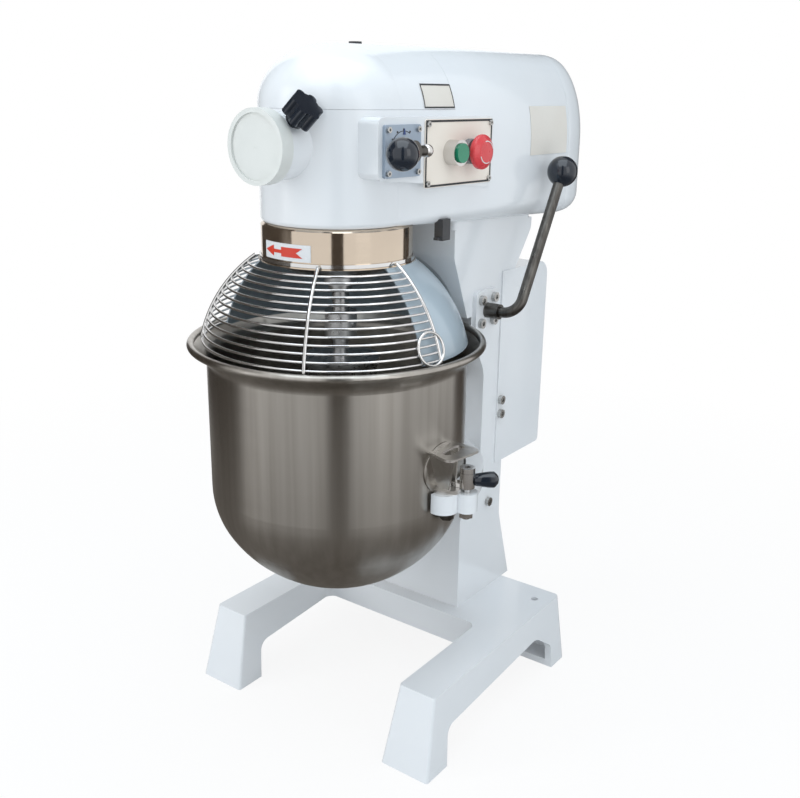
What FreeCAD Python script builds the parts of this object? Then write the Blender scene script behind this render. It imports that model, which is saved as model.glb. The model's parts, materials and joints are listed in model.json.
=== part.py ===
"""Commercial planetary stand mixer with a 20 litre lift bowl.

Shapes are drawn about the bowl's vertical axis, with the floor at z = 0, the front towards -Y and
the control side towards +X.  On export everything moves along Y by BOWL_Y, so that the origin lies
on the floor under the middle of the overall box.  All sizes are in millimetres.
"""
import FreeCAD
import Part
import math
import os

V = FreeCAD.Vector

# ---------------------------------------------------------------- running and seating clearances
RUN = 0.05            # radial play of a shaft in its bearing
GAP = 0.3             # play between faces that pass each other
BACKLASH = 0.16       # share of a tooth taken off for free running

# ---------------------------------------------------------------- bowl
BOWL_R = 159.5        # outside of the straight wall
BOWL_WALL = 1.6
BOWL_BOTTOM = 196.0   # underside at the raised rest position
BOWL_DISH = 138.0     # height of the rounded bottom
BOWL_KNUCKLE = 112.0  # radius where the bottom turns into the wall
RIM_R = 182.0
RIM_BEAD_R = 4.5
RIM_Z = 515.5         # centre of the rolled bead
FLARE_HEIGHT = 16.0   # how far below the bead the wall starts to flare

# ---------------------------------------------------------------- base
BASE_TOP = 104.0
LEG_TOP_OUT = 187.0
LEG_TOP_IN = 134.0
LEG_SPREAD = 9.0      # how much wider the feet stand than the top
LEG_TOP_FRONT = -45.0
LEG_FRONT_SPREAD = 25.0
BASE_TOP_REAR = 279.0
BASE_REAR_SPREAD = 12.0
CROSSBAR_FRONT = 134.0
BASE_WALL = 10.0
FRONT_FOOT = 44.0     # length of the front foot on the floor
REAR_FOOT = 41.0
ARCH_FRONT_Z = 52.0   # underside of the leg behind the front foot
ARCH_REAR_Z = 66.0    # underside of the leg ahead of the rear foot
ARCH_FILLET = 16.0
ARCH_REAR_RUN = 42.0  # slope of the arch down to the rear foot
INNER_CORNER_R = 14.0
ANCHOR_X = 163.5
ANCHOR_Y = 246.5
ANCHOR_R = 5.0

# ---------------------------------------------------------------- column
COL_HALF = 88.0
COL_WALL = 10.0
COL_FRONT = 156.0     # front of the pedestal
COL_SHELF_Z = 240.0   # where the pedestal starts to step back
THROAT_Y = 203.0      # front face behind the bowl
THROAT_LOW_Z = 300.0
THROAT_HIGH_Z = 446.0
SHOULDER_Y = 163.0
SHOULDER_Z = 510.0
NECK_FRONT = 121.0
NECK_FRONT_Z = 608.0
NECK_TOP_Z = 643.0
NECK_REAR = 314.0
NECK_REAR_Z = 628.0
BACK_Y = 262.0        # upright back of the column
BACK_TOP_Z = 560.0
BACK_LOW_Z = 215.0
FOOT_REAR = 298.0
RIM_PASS = 6.0        # room between the bowl rim and the hollowed throat
THROAT_WALL = 4.0     # wall left behind the hollowed throat
COLUMN_BOLT_R = 6.0
SCREW_R = 4.0
SIDE_SCREWS = ((247.0, 394.0), (247.0, 373.5), (227.0, 245.0))

# ---------------------------------------------------------------- head
HEAD_WALL = 6.0
NOSE_R = 90.0
HEAD_HALF = 113.0
HEAD_TOP = 857.0
HEAD_BOTTOM_FRONT = 660.0
HEAD_BOTTOM_REAR = 645.0
NOSE_SIDE_Z = 790.0   # where the nose starts to dome
BODY_SIDE_Z = 742.0   # where the rear body starts to dome
NOSE_CROWN = 84.0     # width of the curved corner at the nose
BODY_CROWN = 60.0     # width of the curved corner at the rear
CHIN_R = 22.0
NOSE_CHIN_R = 6.0
FULL_WIDTH_Y = 230.0  # where the tapering body reaches its full width
TAIL_START = 362.0
TAIL_LENGTH = 82.0
TAIL_POWER = 3.2      # squareness of the tail dome
TAIL_CUT = 0.94       # share of the tail dome kept before its flat end
TAIL_AXIS_Z = 762.0
LID_SEAM_Z = 787.0
LID_SEAM_Y = 92.0
SEAM_GAP = 0.3
LID_WALL = 4.0
HUB_Z = 748.6
HUB_R = 36.0
HUB_REACH = 126.0     # front face of the hub barrel ahead of the bowl axis
HUB_BORE_R = 24.0
HUB_BORE_DEPTH = 40.0
CAP_R = 40.0
CAP_THICK = 8.0
CAP_SKIRT = 9.0
PLUG_R = 7.5
PLUG_Y = 34.0

# ---------------------------------------------------------------- planetary drive
GEAR_MODULE = 2.0
RING_TEETH = 72
PLANET_TEETH = 24
PLANET_REST_DEG = -46.0
RING_GEAR_R = 82.0
PLANET_FACE = 14.0
CARRIER_R = 79.0
CARRIER_LOW_Z = 602.0
CARRIER_TOP_Z = 634.0
MAIN_SHAFT_R = 12.0
BEARING_R = 24.0
TOOL_SHAFT_R = 10.0
TOOL_SHAFT_LOW_Z = 522.0
SPLASH_R = 90.0
SPLASH_WALL = 2.5
SPLASH_LOW_Z = 616.0
LEDGE = 3.5           # outward lip that the guard's band rides on
LEDGE_THICK = 1.7
BEVEL_GEAR_R = 44.0
BEVEL_PINION_R = 22.0
BEVEL_FACE = 14.0
BEVEL_TEETH = 36

# ---------------------------------------------------------------- whisk
WHISK_COLLAR_R = 19.0
WHISK_COLLAR_TOP = 562.0
WHISK_COLLAR_LOW = 533.0
WHISK_NECK_R = 9.0
WHISK_DISC_R = 46.0
WHISK_DISC_Z = 508.0
WHISK_DISC_THICK = 8.0
WHISK_R = 92.0
WHISK_CLEAR = 8.0     # above the inside of the bowl
WHISK_WIRE_R = 1.6
WHISK_LOOPS = 9
WHISK_SHAPE = ((0.8, 185.0), (1.0, 100.0), (0.935, 68.0), (0.72, 40.0), (0.3, 12.5), (0.06, 0.8))

# ---------------------------------------------------------------- gearbox and motor
SHAFT_R = 10.0
DRIVE_TEETH = 16
DRIVEN_TEETH = 40
CLUSTER_TEETH = (38, 32, 26)
LAY_TEETH = (18, 24, 30)
GEAR_FACE = 12.0
GEARBOX_Y = 108.0     # first gear of the cluster
GEAR_STEP = 14.0
LAY_STEP = 28.0
WEB_FRONT_Y = 96.0    # bulkhead ahead of the gears
WEB_REAR_Y = 176.0    # bulkhead behind the gears
WEB_THICK = 8.0
WEB_FRONT_HALF = 58.0
DRIVEN_Y = 190.0      # large wheel of the lay shaft
BEARING_OUT = 16.0
LAY_SHAFT_R = 8.0
MOTOR_FRONT = 214.0
MOTOR_LENGTH = 150.0
MOTOR_R = 70.0
MOTOR_END = 24.0      # thickness of the motor's end shields
ROTOR_R = 44.0

# ---------------------------------------------------------------- guard
DOME_R = 167.5
DOME_Z = 481.4
WIRE_R = 1.5
RIB_R = 2.1
SWITCH_X, SWITCH_Y = 68.0, 68.0          # near corner of the interlock switch
SWITCH_WIDTH, SWITCH_LENGTH, SWITCH_DEPTH = 12.0, 16.0, 22.0
WIRES = 13
WIRE_LOW_DEG = 13.3
WIRE_HIGH_DEG = 51.0
CAGE_FROM_DEG = -196.0
CAGE_TO_DEG = -6.0
SHELL_R = 163.0
SHELL_WALL = 1.5
SHELL_FROM_DEG = -14.0
SHELL_TO_DEG = 194.0
LOOP_R = 19.0
RIB_TOP_DEG = 55.0
BAND_WALL = 2.5
BAND_HEIGHT = 4.0
SWING_PASS = 3.0      # room round the swinging guard in the column

# ---------------------------------------------------------------- bowl yoke, ears and clamps
YOKE_GAP = 3.0        # between the bowl wall and the yoke
ARM_WIDTH = 22.0
ARM_TOP = 360.0
ARM_HEIGHT = 24.0
CARRIAGE_HALF = 60.0
CARRIAGE_TOP = 432.0
SLIDE_HALF = 34.0
SLIDE_NECK = 26.0
SLIDE_THICK = 13.0
SLIDE_PLAY = 0.3
PIN_RADIUS_AT = 167.0 # distance of the locating pins from the bowl axis
PIN_R = 6.0
PIN_HEIGHT = 12.0
BOSS_R = 18.0
POST_X = 189.0
POST_Y = 8.0
POST_R = 5.0
CAM_R = 9.0
CAM_HEIGHT = 19.0
GRIP_AT_DEG = 39.0
GRIP_LENGTH = 26.0
GRIP_R = 9.5
GRIP_STEM = 14.0
LIP_LENGTH = 12.0
LIP_DEG = 200.0
EAR_TOP = 412.0
EAR_REACH = 38.0
EAR_FRONT_IN = -24.0
EAR_FRONT_OUT = -38.0
EAR_REAR_OUT = 18.0
EAR_REAR_IN = 23.0
REAR_LEG = 18.0       # width of the leg behind the pin, clear of the clamp
SLOT_X = 176.0
SLOT_Y = -4.0
EAR_SHEET = 3.0
EAR_FOOT_THICK = 5.0
EAR_FOOT_R = 20.0
SLOT_LENGTH = 38.0
SLOT_WIDTH = 13.0

# ---------------------------------------------------------------- bowl lift
LIFT_Y = 195.0
LIFT_Z = 532.0
LIFT_SHAFT_R = 10.0
CRANK_R = 38.0
LIFT_SWING = 96.0
CRANK_PIN_R = 7.0
LEVER_OFFSET = 52.0   # from the column side to the lever's plane
LEVER_BEND = 22.0
LEVER_ROD_R = 7.0
LEVER_REACH_Y = 101.0
LEVER_REACH_Z = 176.0
LEVER_BALL_R = 20.0
FLANGE_HALF = 27.0
FLANGE_THICK = 6.0
FLANGE_SCREW_AT = 15.5
FLANGE_SPIGOT_R = 17.0
LUG_X0 = 42.0
LUG_X1 = 54.0
CRANK_X0 = 62.0
CRANK_X1 = 74.0
PIN_SLOT_SLACK = 2.0  # extra height of the lift bar's slot on each side of the pin
BAR_FRONT = 222.0
BAR_REAR = 240.0

# ---------------------------------------------------------------- controls
PANEL_X = 107.0       # flat face of the raised control boss at PANEL_Y
PANEL_Y = 50.0
PANEL_TILT_DEG = 2.9  # the face follows the taper of the head
PANEL_FRONT = -54.0
PANEL_REAR = 163.0
PANEL_LOW_FRONT = 715.0
PANEL_LOW = 695.0
PANEL_HIGH = 780.0
DIAL_Y = -16.4
DIAL_Z = 744.7
DIAL_HALF_Y = 30.5
DIAL_HALF_Z = 27.7
DIAL_THICK = 4.0
PLATE_FRONT = 25.0
PLATE_REAR = 156.5
PLATE_LOW = 702.0
PLATE_HIGH = 777.0
PLATE_THICK = 1.5
BUTTON_Z = 740.0
SHANK_R = 11.4        # threaded shank of a push button behind the panel
DIAL_SHAFT_R = 8.0
START_Y = 73.0
STOP_Y = 109.0
BEZEL_R = 14.5
BEZEL_REACH = 15.7
SWITCH_X = 93.0       # front of the contact blocks
STEM_R = 4.0
START_TRAVEL = 3.0
STOP_TRAVEL = 5.0
STOP_COLLAR = 8.0
START_R = 11.0
STOP_R = 20.0
STOP_CAP = 13.0
SPEED_BALL_R = 17.5
SPEED_BALL_X = 145.0
SPEED_BALL_Y = -59.4
SPEED_TAIL_Y = 12.0
SPEED_ROD_R = 5.0
SPEED_HUB_R = 12.0
SPEED_HUB = 16.0      # height of the lever's hub off the dial
KNOB_R = 19.0
KNOB_LOBES = 6
KNOB_STUD_R = 5.0
KNOB_BACK = 20.0      # from the hub's front face to the thumb screw
KNOB_TILT_DEG = 41.0

# ---------------------------------------------------------------- electrical box
BOX_REAR = 366.0
BOX_LOW = 300.0
BOX_HIGH = 577.0
BOX_SHEET = 2.0
BOX_FLANGE = 22.0     # how far its sides lap over the column
BOX_ROUND = 22.0
GLAND_R = 11.0
GLAND_Y = 330.0

# ---------------------------------------------------------------- values that follow
PLANET_OFFSET = GEAR_MODULE * (RING_TEETH - PLANET_TEETH) / 2
PLANET_X = PLANET_OFFSET * math.cos(math.radians(PLANET_REST_DEG))
PLANET_Y = PLANET_OFFSET * math.sin(math.radians(PLANET_REST_DEG))
LAY_Z = HUB_Z + GEAR_MODULE * (DRIVE_TEETH + DRIVEN_TEETH) / 2
LIFT_TRAVEL = 2 * CRANK_R * math.sin(math.radians(LIFT_SWING / 2))
HEAD_REACH = TAIL_START + TAIL_LENGTH * TAIL_CUT
BOWL_Y = (RIM_R - HEAD_REACH) / 2
LEVER_X = COL_HALF + LEVER_OFFSET
YOKE_IN = BOWL_R + YOKE_GAP
YOKE_OUT = YOKE_IN + ARM_WIDTH
COLUMN_BOLT_X = COL_HALF - COL_WALL - 16
COLUMN_BOLT_Y = (COL_FRONT + COL_WALL + 16, FOOT_REAR - COL_WALL - 38)
LUG_TOP = CARRIAGE_TOP - 6
CAM_LOW = ARM_TOP + EAR_FOOT_THICK + GAP
LUG_LOW = LUG_TOP - 44
BAYONET_Z = (WHISK_COLLAR_TOP + WHISK_COLLAR_LOW) / 2
WIRE_CENTRE_R = DOME_R + WIRE_R
RIB_DEG = (CAGE_TO_DEG, -63.0, -139.0, CAGE_FROM_DEG)
FLANGE_SCREWS = [(LIFT_Y + i * FLANGE_SCREW_AT, LIFT_Z + k * FLANGE_SCREW_AT)
                 for i in (-1, 1) for k in (-1, 1)]
DIAL_BOX = (DIAL_Y - DIAL_HALF_Y, DIAL_Y + DIAL_HALF_Y, DIAL_Z - DIAL_HALF_Z, DIAL_Z + DIAL_HALF_Z)
PLATE_BOX = (PLATE_FRONT, PLATE_REAR, PLATE_LOW, PLATE_HIGH)
FRONT_X = PANEL_X + PLATE_THICK


# ================================================================ small helpers
def box(x0, x1, y0, y1, z0, z1):
    return Part.makeBox(x1 - x0, y1 - y0, z1 - z0, V(x0, y0, z0))


def rod(radius, start, end):
    a = V(*start)
    b = V(*end)
    return Part.makeCylinder(radius, (b - a).Length, a, b - a)


def tube(outer, inner, start, end):
    return rod(outer, start, end).cut(rod(inner, start, end))


def both_sides(shape):
    """The shape and its mirror image across the middle plane, as separate solids."""
    return Part.makeCompound([shape, shape.mirror(V(0, 0, 0), V(1, 0, 0))])


def in_plane(plane, u, v, at):
    return {"xy": V(u, v, at), "yz": V(at, u, v), "xz": V(u, at, v)}[plane]


def outline(points, plane, at=0.0):
    """Closed wire through (u, v) or (u, v, corner radius) points."""
    corners = [in_plane(plane, p[0], p[1], at) for p in points]
    radii = [p[2] if len(p) > 2 else 0.0 for p in points]
    edges = []
    first = None
    last = None
    for i, corner in enumerate(corners):
        to_last = (corners[i - 1] - corner).normalize()
        to_next = (corners[(i + 1) % len(corners)] - corner).normalize()
        if radii[i] > 0:
            half = to_last.getAngle(to_next) / 2
            reach = radii[i] / math.tan(half)
            start = corner + to_last * reach
            end = corner + to_next * reach
            inward = (to_last + to_next).normalize()
            middle = corner + inward * (radii[i] / math.sin(half) - radii[i])
        else:
            start = corner
            end = corner
        if last is not None and (start - last).Length > 1e-6:
            edges.append(Part.LineSegment(last, start).toShape())
        if radii[i] > 0:
            edges.append(Part.Arc(start, middle, end).toShape())
        if first is None:
            first = start
        last = end
    if (first - last).Length > 1e-6:
        edges.append(Part.LineSegment(last, first).toShape())
    return Part.Wire(edges)


def prism(points, plane, low, high):
    along = {"xy": V(0, 0, 1), "yz": V(1, 0, 0), "xz": V(0, 1, 0)}[plane]
    return Part.Face(outline(points, plane, low)).extrude(along * (high - low))


def turned(points, x=0.0, y=0.0, sweep=360.0):
    """Solid of revolution about the vertical through (x, y); points are (radius, z[, corner])."""
    face = Part.Face(outline(points, "xz"))
    solid = face.revolve(V(0, 0, 0), V(0, 0, 1), sweep)
    return solid.translate(V(x, y, 0))


def fused(shapes):
    return shapes[0].fuse(list(shapes[1:])).removeSplitter()


def polar(radius, degrees, z=0.0):
    a = math.radians(degrees)
    return V(radius * math.cos(a), radius * math.sin(a), z)


def tooth_points(teeth, tip, root, pitch, start_deg):
    """Corner points of a toothed wheel; tip and root swap sides for an internal gear."""
    slope = math.tan(math.radians(20))
    half_pitch = pitch * math.pi / (2 * teeth) * (1 - BACKLASH)
    half_tip = (half_pitch - abs(tip - pitch) * slope) / tip
    half_root = (half_pitch + abs(root - pitch) * slope) / root
    points = []
    for i in range(teeth):
        middle = math.radians(start_deg) + 2 * math.pi * i / teeth
        for radius, angle in ((root, -half_root), (tip, -half_tip), (tip, half_tip), (root, half_root)):
            points.append((radius * math.cos(middle + angle), radius * math.sin(middle + angle)))
    return points


def gear_blank(teeth, start_deg, length):
    """Outside-toothed wheel standing on z = 0 about the origin."""
    pitch = GEAR_MODULE * teeth / 2
    points = tooth_points(teeth, pitch + 0.9 * GEAR_MODULE, pitch - 1.25 * GEAR_MODULE, pitch, start_deg)
    return prism(points, "xy", 0, length)


def along_y(shape, x, y, z):
    """Turn a piece drawn along +Z so that it lies along +Y, its base at (x, y, z)."""
    turned_shape = shape.copy()
    turned_shape.rotate(V(0, 0, 0), V(1, 0, 0), -90)
    turned_shape.translate(V(x, y, z))
    return turned_shape


def socket_screw(radius, at, direction, length):
    """Cap screw whose head stands on the point at; its shank runs the other way."""
    head = rod(radius * 1.6, (0, 0, 0), (0, 0, radius * 1.3))
    hexagon = Part.makePolygon([polar(radius * 0.8, 60 * i, radius * 0.5) for i in range(7)])
    head = head.cut(Part.Face(hexagon).extrude(V(0, 0, radius)))
    screw = fused([head, rod(radius, (0, 0, -length), (0, 0, 0))])
    screw.Placement = FreeCAD.Placement(V(*at), FreeCAD.Rotation(V(0, 0, 1), V(*direction)))
    return screw


# ================================================================ base
def base_shell(inset, low, high):
    """U-shaped drafted body of the base, shrunk all round by inset."""
    def level(z):
        share = 1 - z / BASE_TOP
        out = LEG_TOP_OUT + LEG_SPREAD * share - inset
        inner = LEG_TOP_IN - LEG_SPREAD * share + inset
        front = LEG_TOP_FRONT - LEG_FRONT_SPREAD * share + inset
        rear = BASE_TOP_REAR + BASE_REAR_SPREAD * share - inset
        bar = CROSSBAR_FRONT + inset
        points = [(-out, front, 4), (-inner, front, 4), (-inner, bar, INNER_CORNER_R)]
        points += [(inner, bar, INNER_CORNER_R), (inner, front, 4), (out, front, 4)]
        points += [(out, rear, 8), (-out, rear, 8)]
        return outline(points, "xy", z)
    return Part.makeLoft([level(low), level(high)], True, True)


def make_base_frame():
    body = base_shell(0, 0, BASE_TOP)
    front_end = LEG_TOP_FRONT - LEG_FRONT_SPREAD
    rear_end = BASE_TOP_REAR + BASE_REAR_SPREAD
    arch = [
        (front_end + FRONT_FOOT, -1),
        (front_end + FRONT_FOOT + 6, ARCH_FRONT_Z, ARCH_FILLET),
        (rear_end - REAR_FOOT - ARCH_REAR_RUN, ARCH_REAR_Z, 30),
        (rear_end - REAR_FOOT, ARCH_REAR_Z - 30, 12),
        (rear_end - REAR_FOOT, -1),
    ]
    reach = LEG_TOP_OUT + LEG_SPREAD + 5
    body = body.cut(prism(arch, "yz", -reach, reach))
    hollow = base_shell(BASE_WALL, -1, BASE_TOP - BASE_WALL)
    feet = [
        box(-reach, reach, front_end - 5, front_end + FRONT_FOOT + 20, -2, BASE_WALL),
        box(-reach, reach, rear_end - REAR_FOOT - 14, rear_end + 5, -2, BASE_WALL),
    ]
    body = body.cut(hollow.cut(feet[0]).cut(feet[1]))
    for x in (-ANCHOR_X, ANCHOR_X):
        body = body.cut(rod(ANCHOR_R, (x, ANCHOR_Y, BASE_WALL + 1), (x, ANCHOR_Y, BASE_TOP + 1)))
    for x in (-1, 1):
        for y in COLUMN_BOLT_Y:
            hole = (x * COLUMN_BOLT_X, y)
            body = body.cut(rod(COLUMN_BOLT_R + GAP, hole + (BASE_WALL + 1,), hole + (BASE_TOP + 1,)))
    return body


def make_column_bolts():
    bolts = []
    for x in (-COLUMN_BOLT_X, COLUMN_BOLT_X):
        for y in COLUMN_BOLT_Y:
            head = prism([(x + 10 * math.cos(math.radians(60 * i)), y + 10 * math.sin(math.radians(60 * i)))
                          for i in range(6)], "xy", BASE_TOP - BASE_WALL - 8, BASE_TOP - BASE_WALL)
            shank = rod(COLUMN_BOLT_R, (x, y, BASE_TOP - BASE_WALL), (x, y, BASE_TOP + COL_WALL - GAP))
            bolts.append(fused([head, shank]))
    return Part.makeCompound(bolts)


# ================================================================ column
def column_side():
    return [
        (COL_FRONT, BASE_TOP),
        (COL_FRONT, COL_SHELF_Z, 20),
        (THROAT_Y, THROAT_LOW_Z, 30),
        (THROAT_Y, THROAT_HIGH_Z, 40),
        (SHOULDER_Y, SHOULDER_Z, 40),
        (NECK_FRONT, NECK_FRONT_Z, 24),
        (NECK_FRONT, NECK_TOP_Z),
        (NECK_REAR, NECK_TOP_Z),
        (NECK_REAR, NECK_REAR_Z, 20),
        (BACK_Y, BACK_TOP_Z, 50),
        (BACK_Y, BACK_LOW_Z, 60),
        (FOOT_REAR, BASE_TOP),
    ]


def throat_pass(extra):
    """Room that the bowl rim and the swinging guard need in the column, grown by extra."""
    low = RIM_Z - LIFT_TRAVEL - 26 - extra
    rim = rod(RIM_R + RIM_PASS + extra, (0, 0, low), (0, 0, RIM_Z + 11 + extra))
    dome = Part.makeSphere(WIRE_CENTRE_R + 2 * RIB_R + SWING_PASS + extra, V(0, 0, DOME_Z))
    return rim.fuse(dome.common(box(-250, 250, -250, 250, DOME_Z, RIM_Z + 250)))


def make_column_casting():
    side = outline(column_side(), "yz", -COL_HALF)
    body = Part.Face(side).extrude(V(2 * COL_HALF, 0, 0))
    plan = [(-COL_HALF, 100, 6), (COL_HALF, 100, 6), (COL_HALF, 330, 12), (-COL_HALF, 330, 12)]
    body = body.common(prism(plan, "xy", 0, NECK_TOP_Z + 10))
    body = body.cut(throat_pass(0))
    inner = outline(column_side(), "yz", -COL_HALF + COL_WALL)
    inner = Part.Face(inner).makeOffset2D(-COL_WALL)
    cavity = inner.extrude(V(2 * (COL_HALF - COL_WALL), 0, 0))
    cavity = cavity.cut(throat_pass(THROAT_WALL))
    top_room = box(-COL_HALF + COL_WALL, COL_HALF - COL_WALL, NECK_FRONT + COL_WALL,
                   NECK_REAR - COL_WALL, NECK_TOP_Z - COL_WALL - 6, NECK_TOP_Z + 1)
    body = body.cut(cavity).cut(top_room)
    body = body.cut(carriage_pocket())
    body = body.cut(lift_slot())
    body = body.cut(rod(FLANGE_SPIGOT_R, (0, LIFT_Y, LIFT_Z), (COL_HALF + 1, LIFT_Y, LIFT_Z)))
    for x in (-COLUMN_BOLT_X, COLUMN_BOLT_X):
        for y in COLUMN_BOLT_Y:
            body = body.cut(rod(COLUMN_BOLT_R, (x, y, BASE_TOP - 1), (x, y, BASE_TOP + COL_WALL)))
    for hole in FLANGE_SCREWS:
        body = body.cut(rod(SCREW_R, (COL_HALF - 14,) + hole, (COL_HALF + 1,) + hole))
    for side_x in (-1, 1):
        for hole in SIDE_SCREWS:
            inside, outside = side_x * (COL_HALF - 14), side_x * (COL_HALF + 5)
            body = body.cut(rod(SCREW_R, (inside,) + hole, (outside,) + hole))
    return body


def carriage_pocket():
    """Upright channel in the pedestal that the lowered carriage enters."""
    low = ARM_TOP - ARM_HEIGHT - LIFT_TRAVEL - 4
    half = CARRIAGE_HALF + 4
    return box(-half, half, COL_FRONT - 10, THROAT_Y, low, THROAT_HIGH_Z - 12)


def lift_slot():
    """Opening in the front wall for the lug of the carriage over its whole travel."""
    low = LUG_LOW - LIFT_TRAVEL - 3
    return box(LUG_X0 - 3, LUG_X1 + 3, COL_FRONT, THROAT_Y + COL_WALL + 1, low, LUG_TOP + 3)


def make_slideway():
    """Dovetail way screwed to the front of the column."""
    low = ARM_TOP - ARM_HEIGHT - LIFT_TRAVEL - 3
    points = [
        (-SLIDE_NECK, THROAT_Y),
        (-SLIDE_HALF, THROAT_Y - SLIDE_THICK),
        (SLIDE_HALF, THROAT_Y - SLIDE_THICK),
        (SLIDE_NECK, THROAT_Y),
    ]
    way = prism(points, "xy", low, CARRIAGE_TOP)
    for z in (low + 20, (low + CARRIAGE_TOP) / 2, CARRIAGE_TOP - 20):
        way = way.cut(rod(6.5, (0, THROAT_Y - SLIDE_THICK - 1, z), (0, THROAT_Y - SLIDE_THICK + 6, z)))
    return way


# ================================================================ head
def crown_share(y):
    """0 at the bowl axis, 1 where the body has its full width."""
    t = min(max(y / FULL_WIDTH_Y, 0.0), 1.0)
    return t * (2 - t)


def head_section(y, inset):
    """Closed section of the head across Y: flat bottom, upright sides and a crowned top."""
    share = crown_share(y)
    half = NOSE_R + (HEAD_HALF - NOSE_R) * share
    crown = NOSE_CROWN + (BODY_CROWN - NOSE_CROWN) * share
    side_z = NOSE_SIDE_Z + (BODY_SIDE_Z - NOSE_SIDE_Z) * share
    low = HEAD_BOTTOM_FRONT + (HEAD_BOTTOM_REAR - HEAD_BOTTOM_FRONT) * min(y / TAIL_START, 1.0)
    tail = max(y - TAIL_START, 0.0) / TAIL_LENGTH
    scale = (1 - tail ** TAIL_POWER) ** (1 / TAIL_POWER)
    half = half * scale - inset
    crown = crown * scale - inset
    top = TAIL_AXIS_Z + (HEAD_TOP - TAIL_AXIS_Z) * scale - inset
    low = TAIL_AXIS_Z + (low - TAIL_AXIS_Z) * scale + inset
    side_z = TAIL_AXIS_Z + (side_z - TAIL_AXIS_Z) * scale
    chin = max((NOSE_CHIN_R + (CHIN_R - NOSE_CHIN_R) * share) * scale - inset, 0.5)
    rise = top - side_z
    return y, half, crown, top, low, side_z, chin, rise


def quarter(centre, axis_u, axis_v, reach_u, reach_v):
    """Quarter of an ellipse from centre + u to centre + v."""
    if abs(reach_u - reach_v) < 1e-6:
        bend = centre + (axis_u + axis_v) * (reach_u / math.sqrt(2))
        return Part.Arc(centre + axis_u * reach_u, bend, centre + axis_v * reach_v).toShape()
    if reach_u > reach_v:
        curve = Part.Ellipse(centre + axis_u * reach_u, centre + axis_v * reach_v, centre)
        return Part.ArcOfEllipse(curve, 0, math.pi / 2).toShape()
    curve = Part.Ellipse(centre + axis_v * reach_v, centre - axis_u * reach_u, centre)
    return Part.ArcOfEllipse(curve, -math.pi / 2, 0).toShape()


def section_wire(y, inset):
    y, half, crown, top, low, side_z, chin, rise = head_section(y, inset)
    x_axis = V(1, 0, 0)
    z_axis = V(0, 0, 1)
    flat = half - crown
    foot = half - chin
    edges = [
        Part.LineSegment(V(-foot, y, low), V(foot, y, low)).toShape(),
        quarter(V(foot, y, low + chin), z_axis * -1, x_axis, chin, chin),
        Part.LineSegment(V(half, y, low + chin), V(half, y, side_z)).toShape(),
        quarter(V(flat, y, side_z), x_axis, z_axis, crown, rise),
        Part.LineSegment(V(flat, y, top), V(-flat, y, top)).toShape(),
        quarter(V(-flat, y, side_z), z_axis, x_axis * -1, rise, crown),
        Part.LineSegment(V(-half, y, side_z), V(-half, y, low + chin)).toShape(),
        quarter(V(-foot, y, low + chin), x_axis * -1, z_axis * -1, chin, chin),
    ]
    return Part.Wire(edges)


def nose(inset):
    """Front of the head: the section at the bowl axis turned half round."""
    y, half, crown, top, low, side_z, chin, rise = head_section(0.0, inset)
    x_axis = V(1, 0, 0)
    z_axis = V(0, 0, 1)
    edges = [
        Part.LineSegment(V(0, 0, low), V(half - chin, 0, low)).toShape(),
        quarter(V(half - chin, 0, low + chin), z_axis * -1, x_axis, chin, chin),
        Part.LineSegment(V(half, 0, low + chin), V(half, 0, side_z)).toShape(),
        quarter(V(half - crown, 0, side_z), x_axis, z_axis, crown, rise),
        Part.LineSegment(V(half - crown, 0, top), V(0, 0, top)).toShape(),
        Part.LineSegment(V(0, 0, top), V(0, 0, low)).toShape(),
    ]
    return Part.Face(Part.Wire(edges)).revolve(V(0, 0, 0), V(0, 0, 1), -180)


def head_solid(inset):
    end = TAIL_START + TAIL_LENGTH * TAIL_CUT - inset
    body_stations = [0, 55, 110, 170, FULL_WIDTH_Y, 296, TAIL_START]
    tail_shares = [0.0, 0.25, 0.45, 0.62, 0.76, 0.87, 0.94, 1.0]
    body = Part.makeLoft([section_wire(y, inset) for y in body_stations], True, False)
    tail_wires = [section_wire(TAIL_START + (end - TAIL_START) * s, inset) for s in tail_shares]
    tail = Part.makeLoft(tail_wires, True, False)
    return [nose(inset), body, tail]


def on_panel(shape):
    """Turn a control piece, drawn square to X, with the tilted face of the boss."""
    turned_shape = shape.copy()
    turned_shape.rotate(V(PANEL_X, PANEL_Y, 0), V(0, 0, 1), -PANEL_TILT_DEG)
    return turned_shape


def control_boss(inset):
    """Raised pad on the control side that carries the dial and the nameplate."""
    points = [
        (PANEL_FRONT + inset, PANEL_LOW_FRONT + inset, 8),
        (PANEL_REAR - inset, PANEL_LOW + inset, 8),
        (PANEL_REAR - inset, PANEL_HIGH - inset, 8),
        (PANEL_FRONT + inset, PANEL_HIGH - inset, 8),
    ]
    return on_panel(prism(points, "yz", 50, PANEL_X - inset))


def lid_cutter(gap):
    """Block that holds everything in front of and above the seam of the front cover."""
    return box(-200, 200, -200, LID_SEAM_Y + gap, LID_SEAM_Z - gap, HEAD_TOP + 50)


def hub_barrel(radius, depth_from, depth_to):
    return rod(radius, (0, -depth_to, HUB_Z), (0, -depth_from, HUB_Z))


def bulkhead(y, half):
    return box(-half, half, y, y + WEB_THICK, 500, HEAD_TOP + 50)


def neck_pad():
    """Pad under the head that stands on the column's neck."""
    plan = [
        (-COL_HALF, NECK_FRONT, 6),
        (COL_HALF, NECK_FRONT, 6),
        (COL_HALF, NECK_REAR, 12),
        (-COL_HALF, NECK_REAR, 12),
    ]
    return prism(plan, "xy", NECK_TOP_Z, HEAD_BOTTOM_FRONT)


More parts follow.
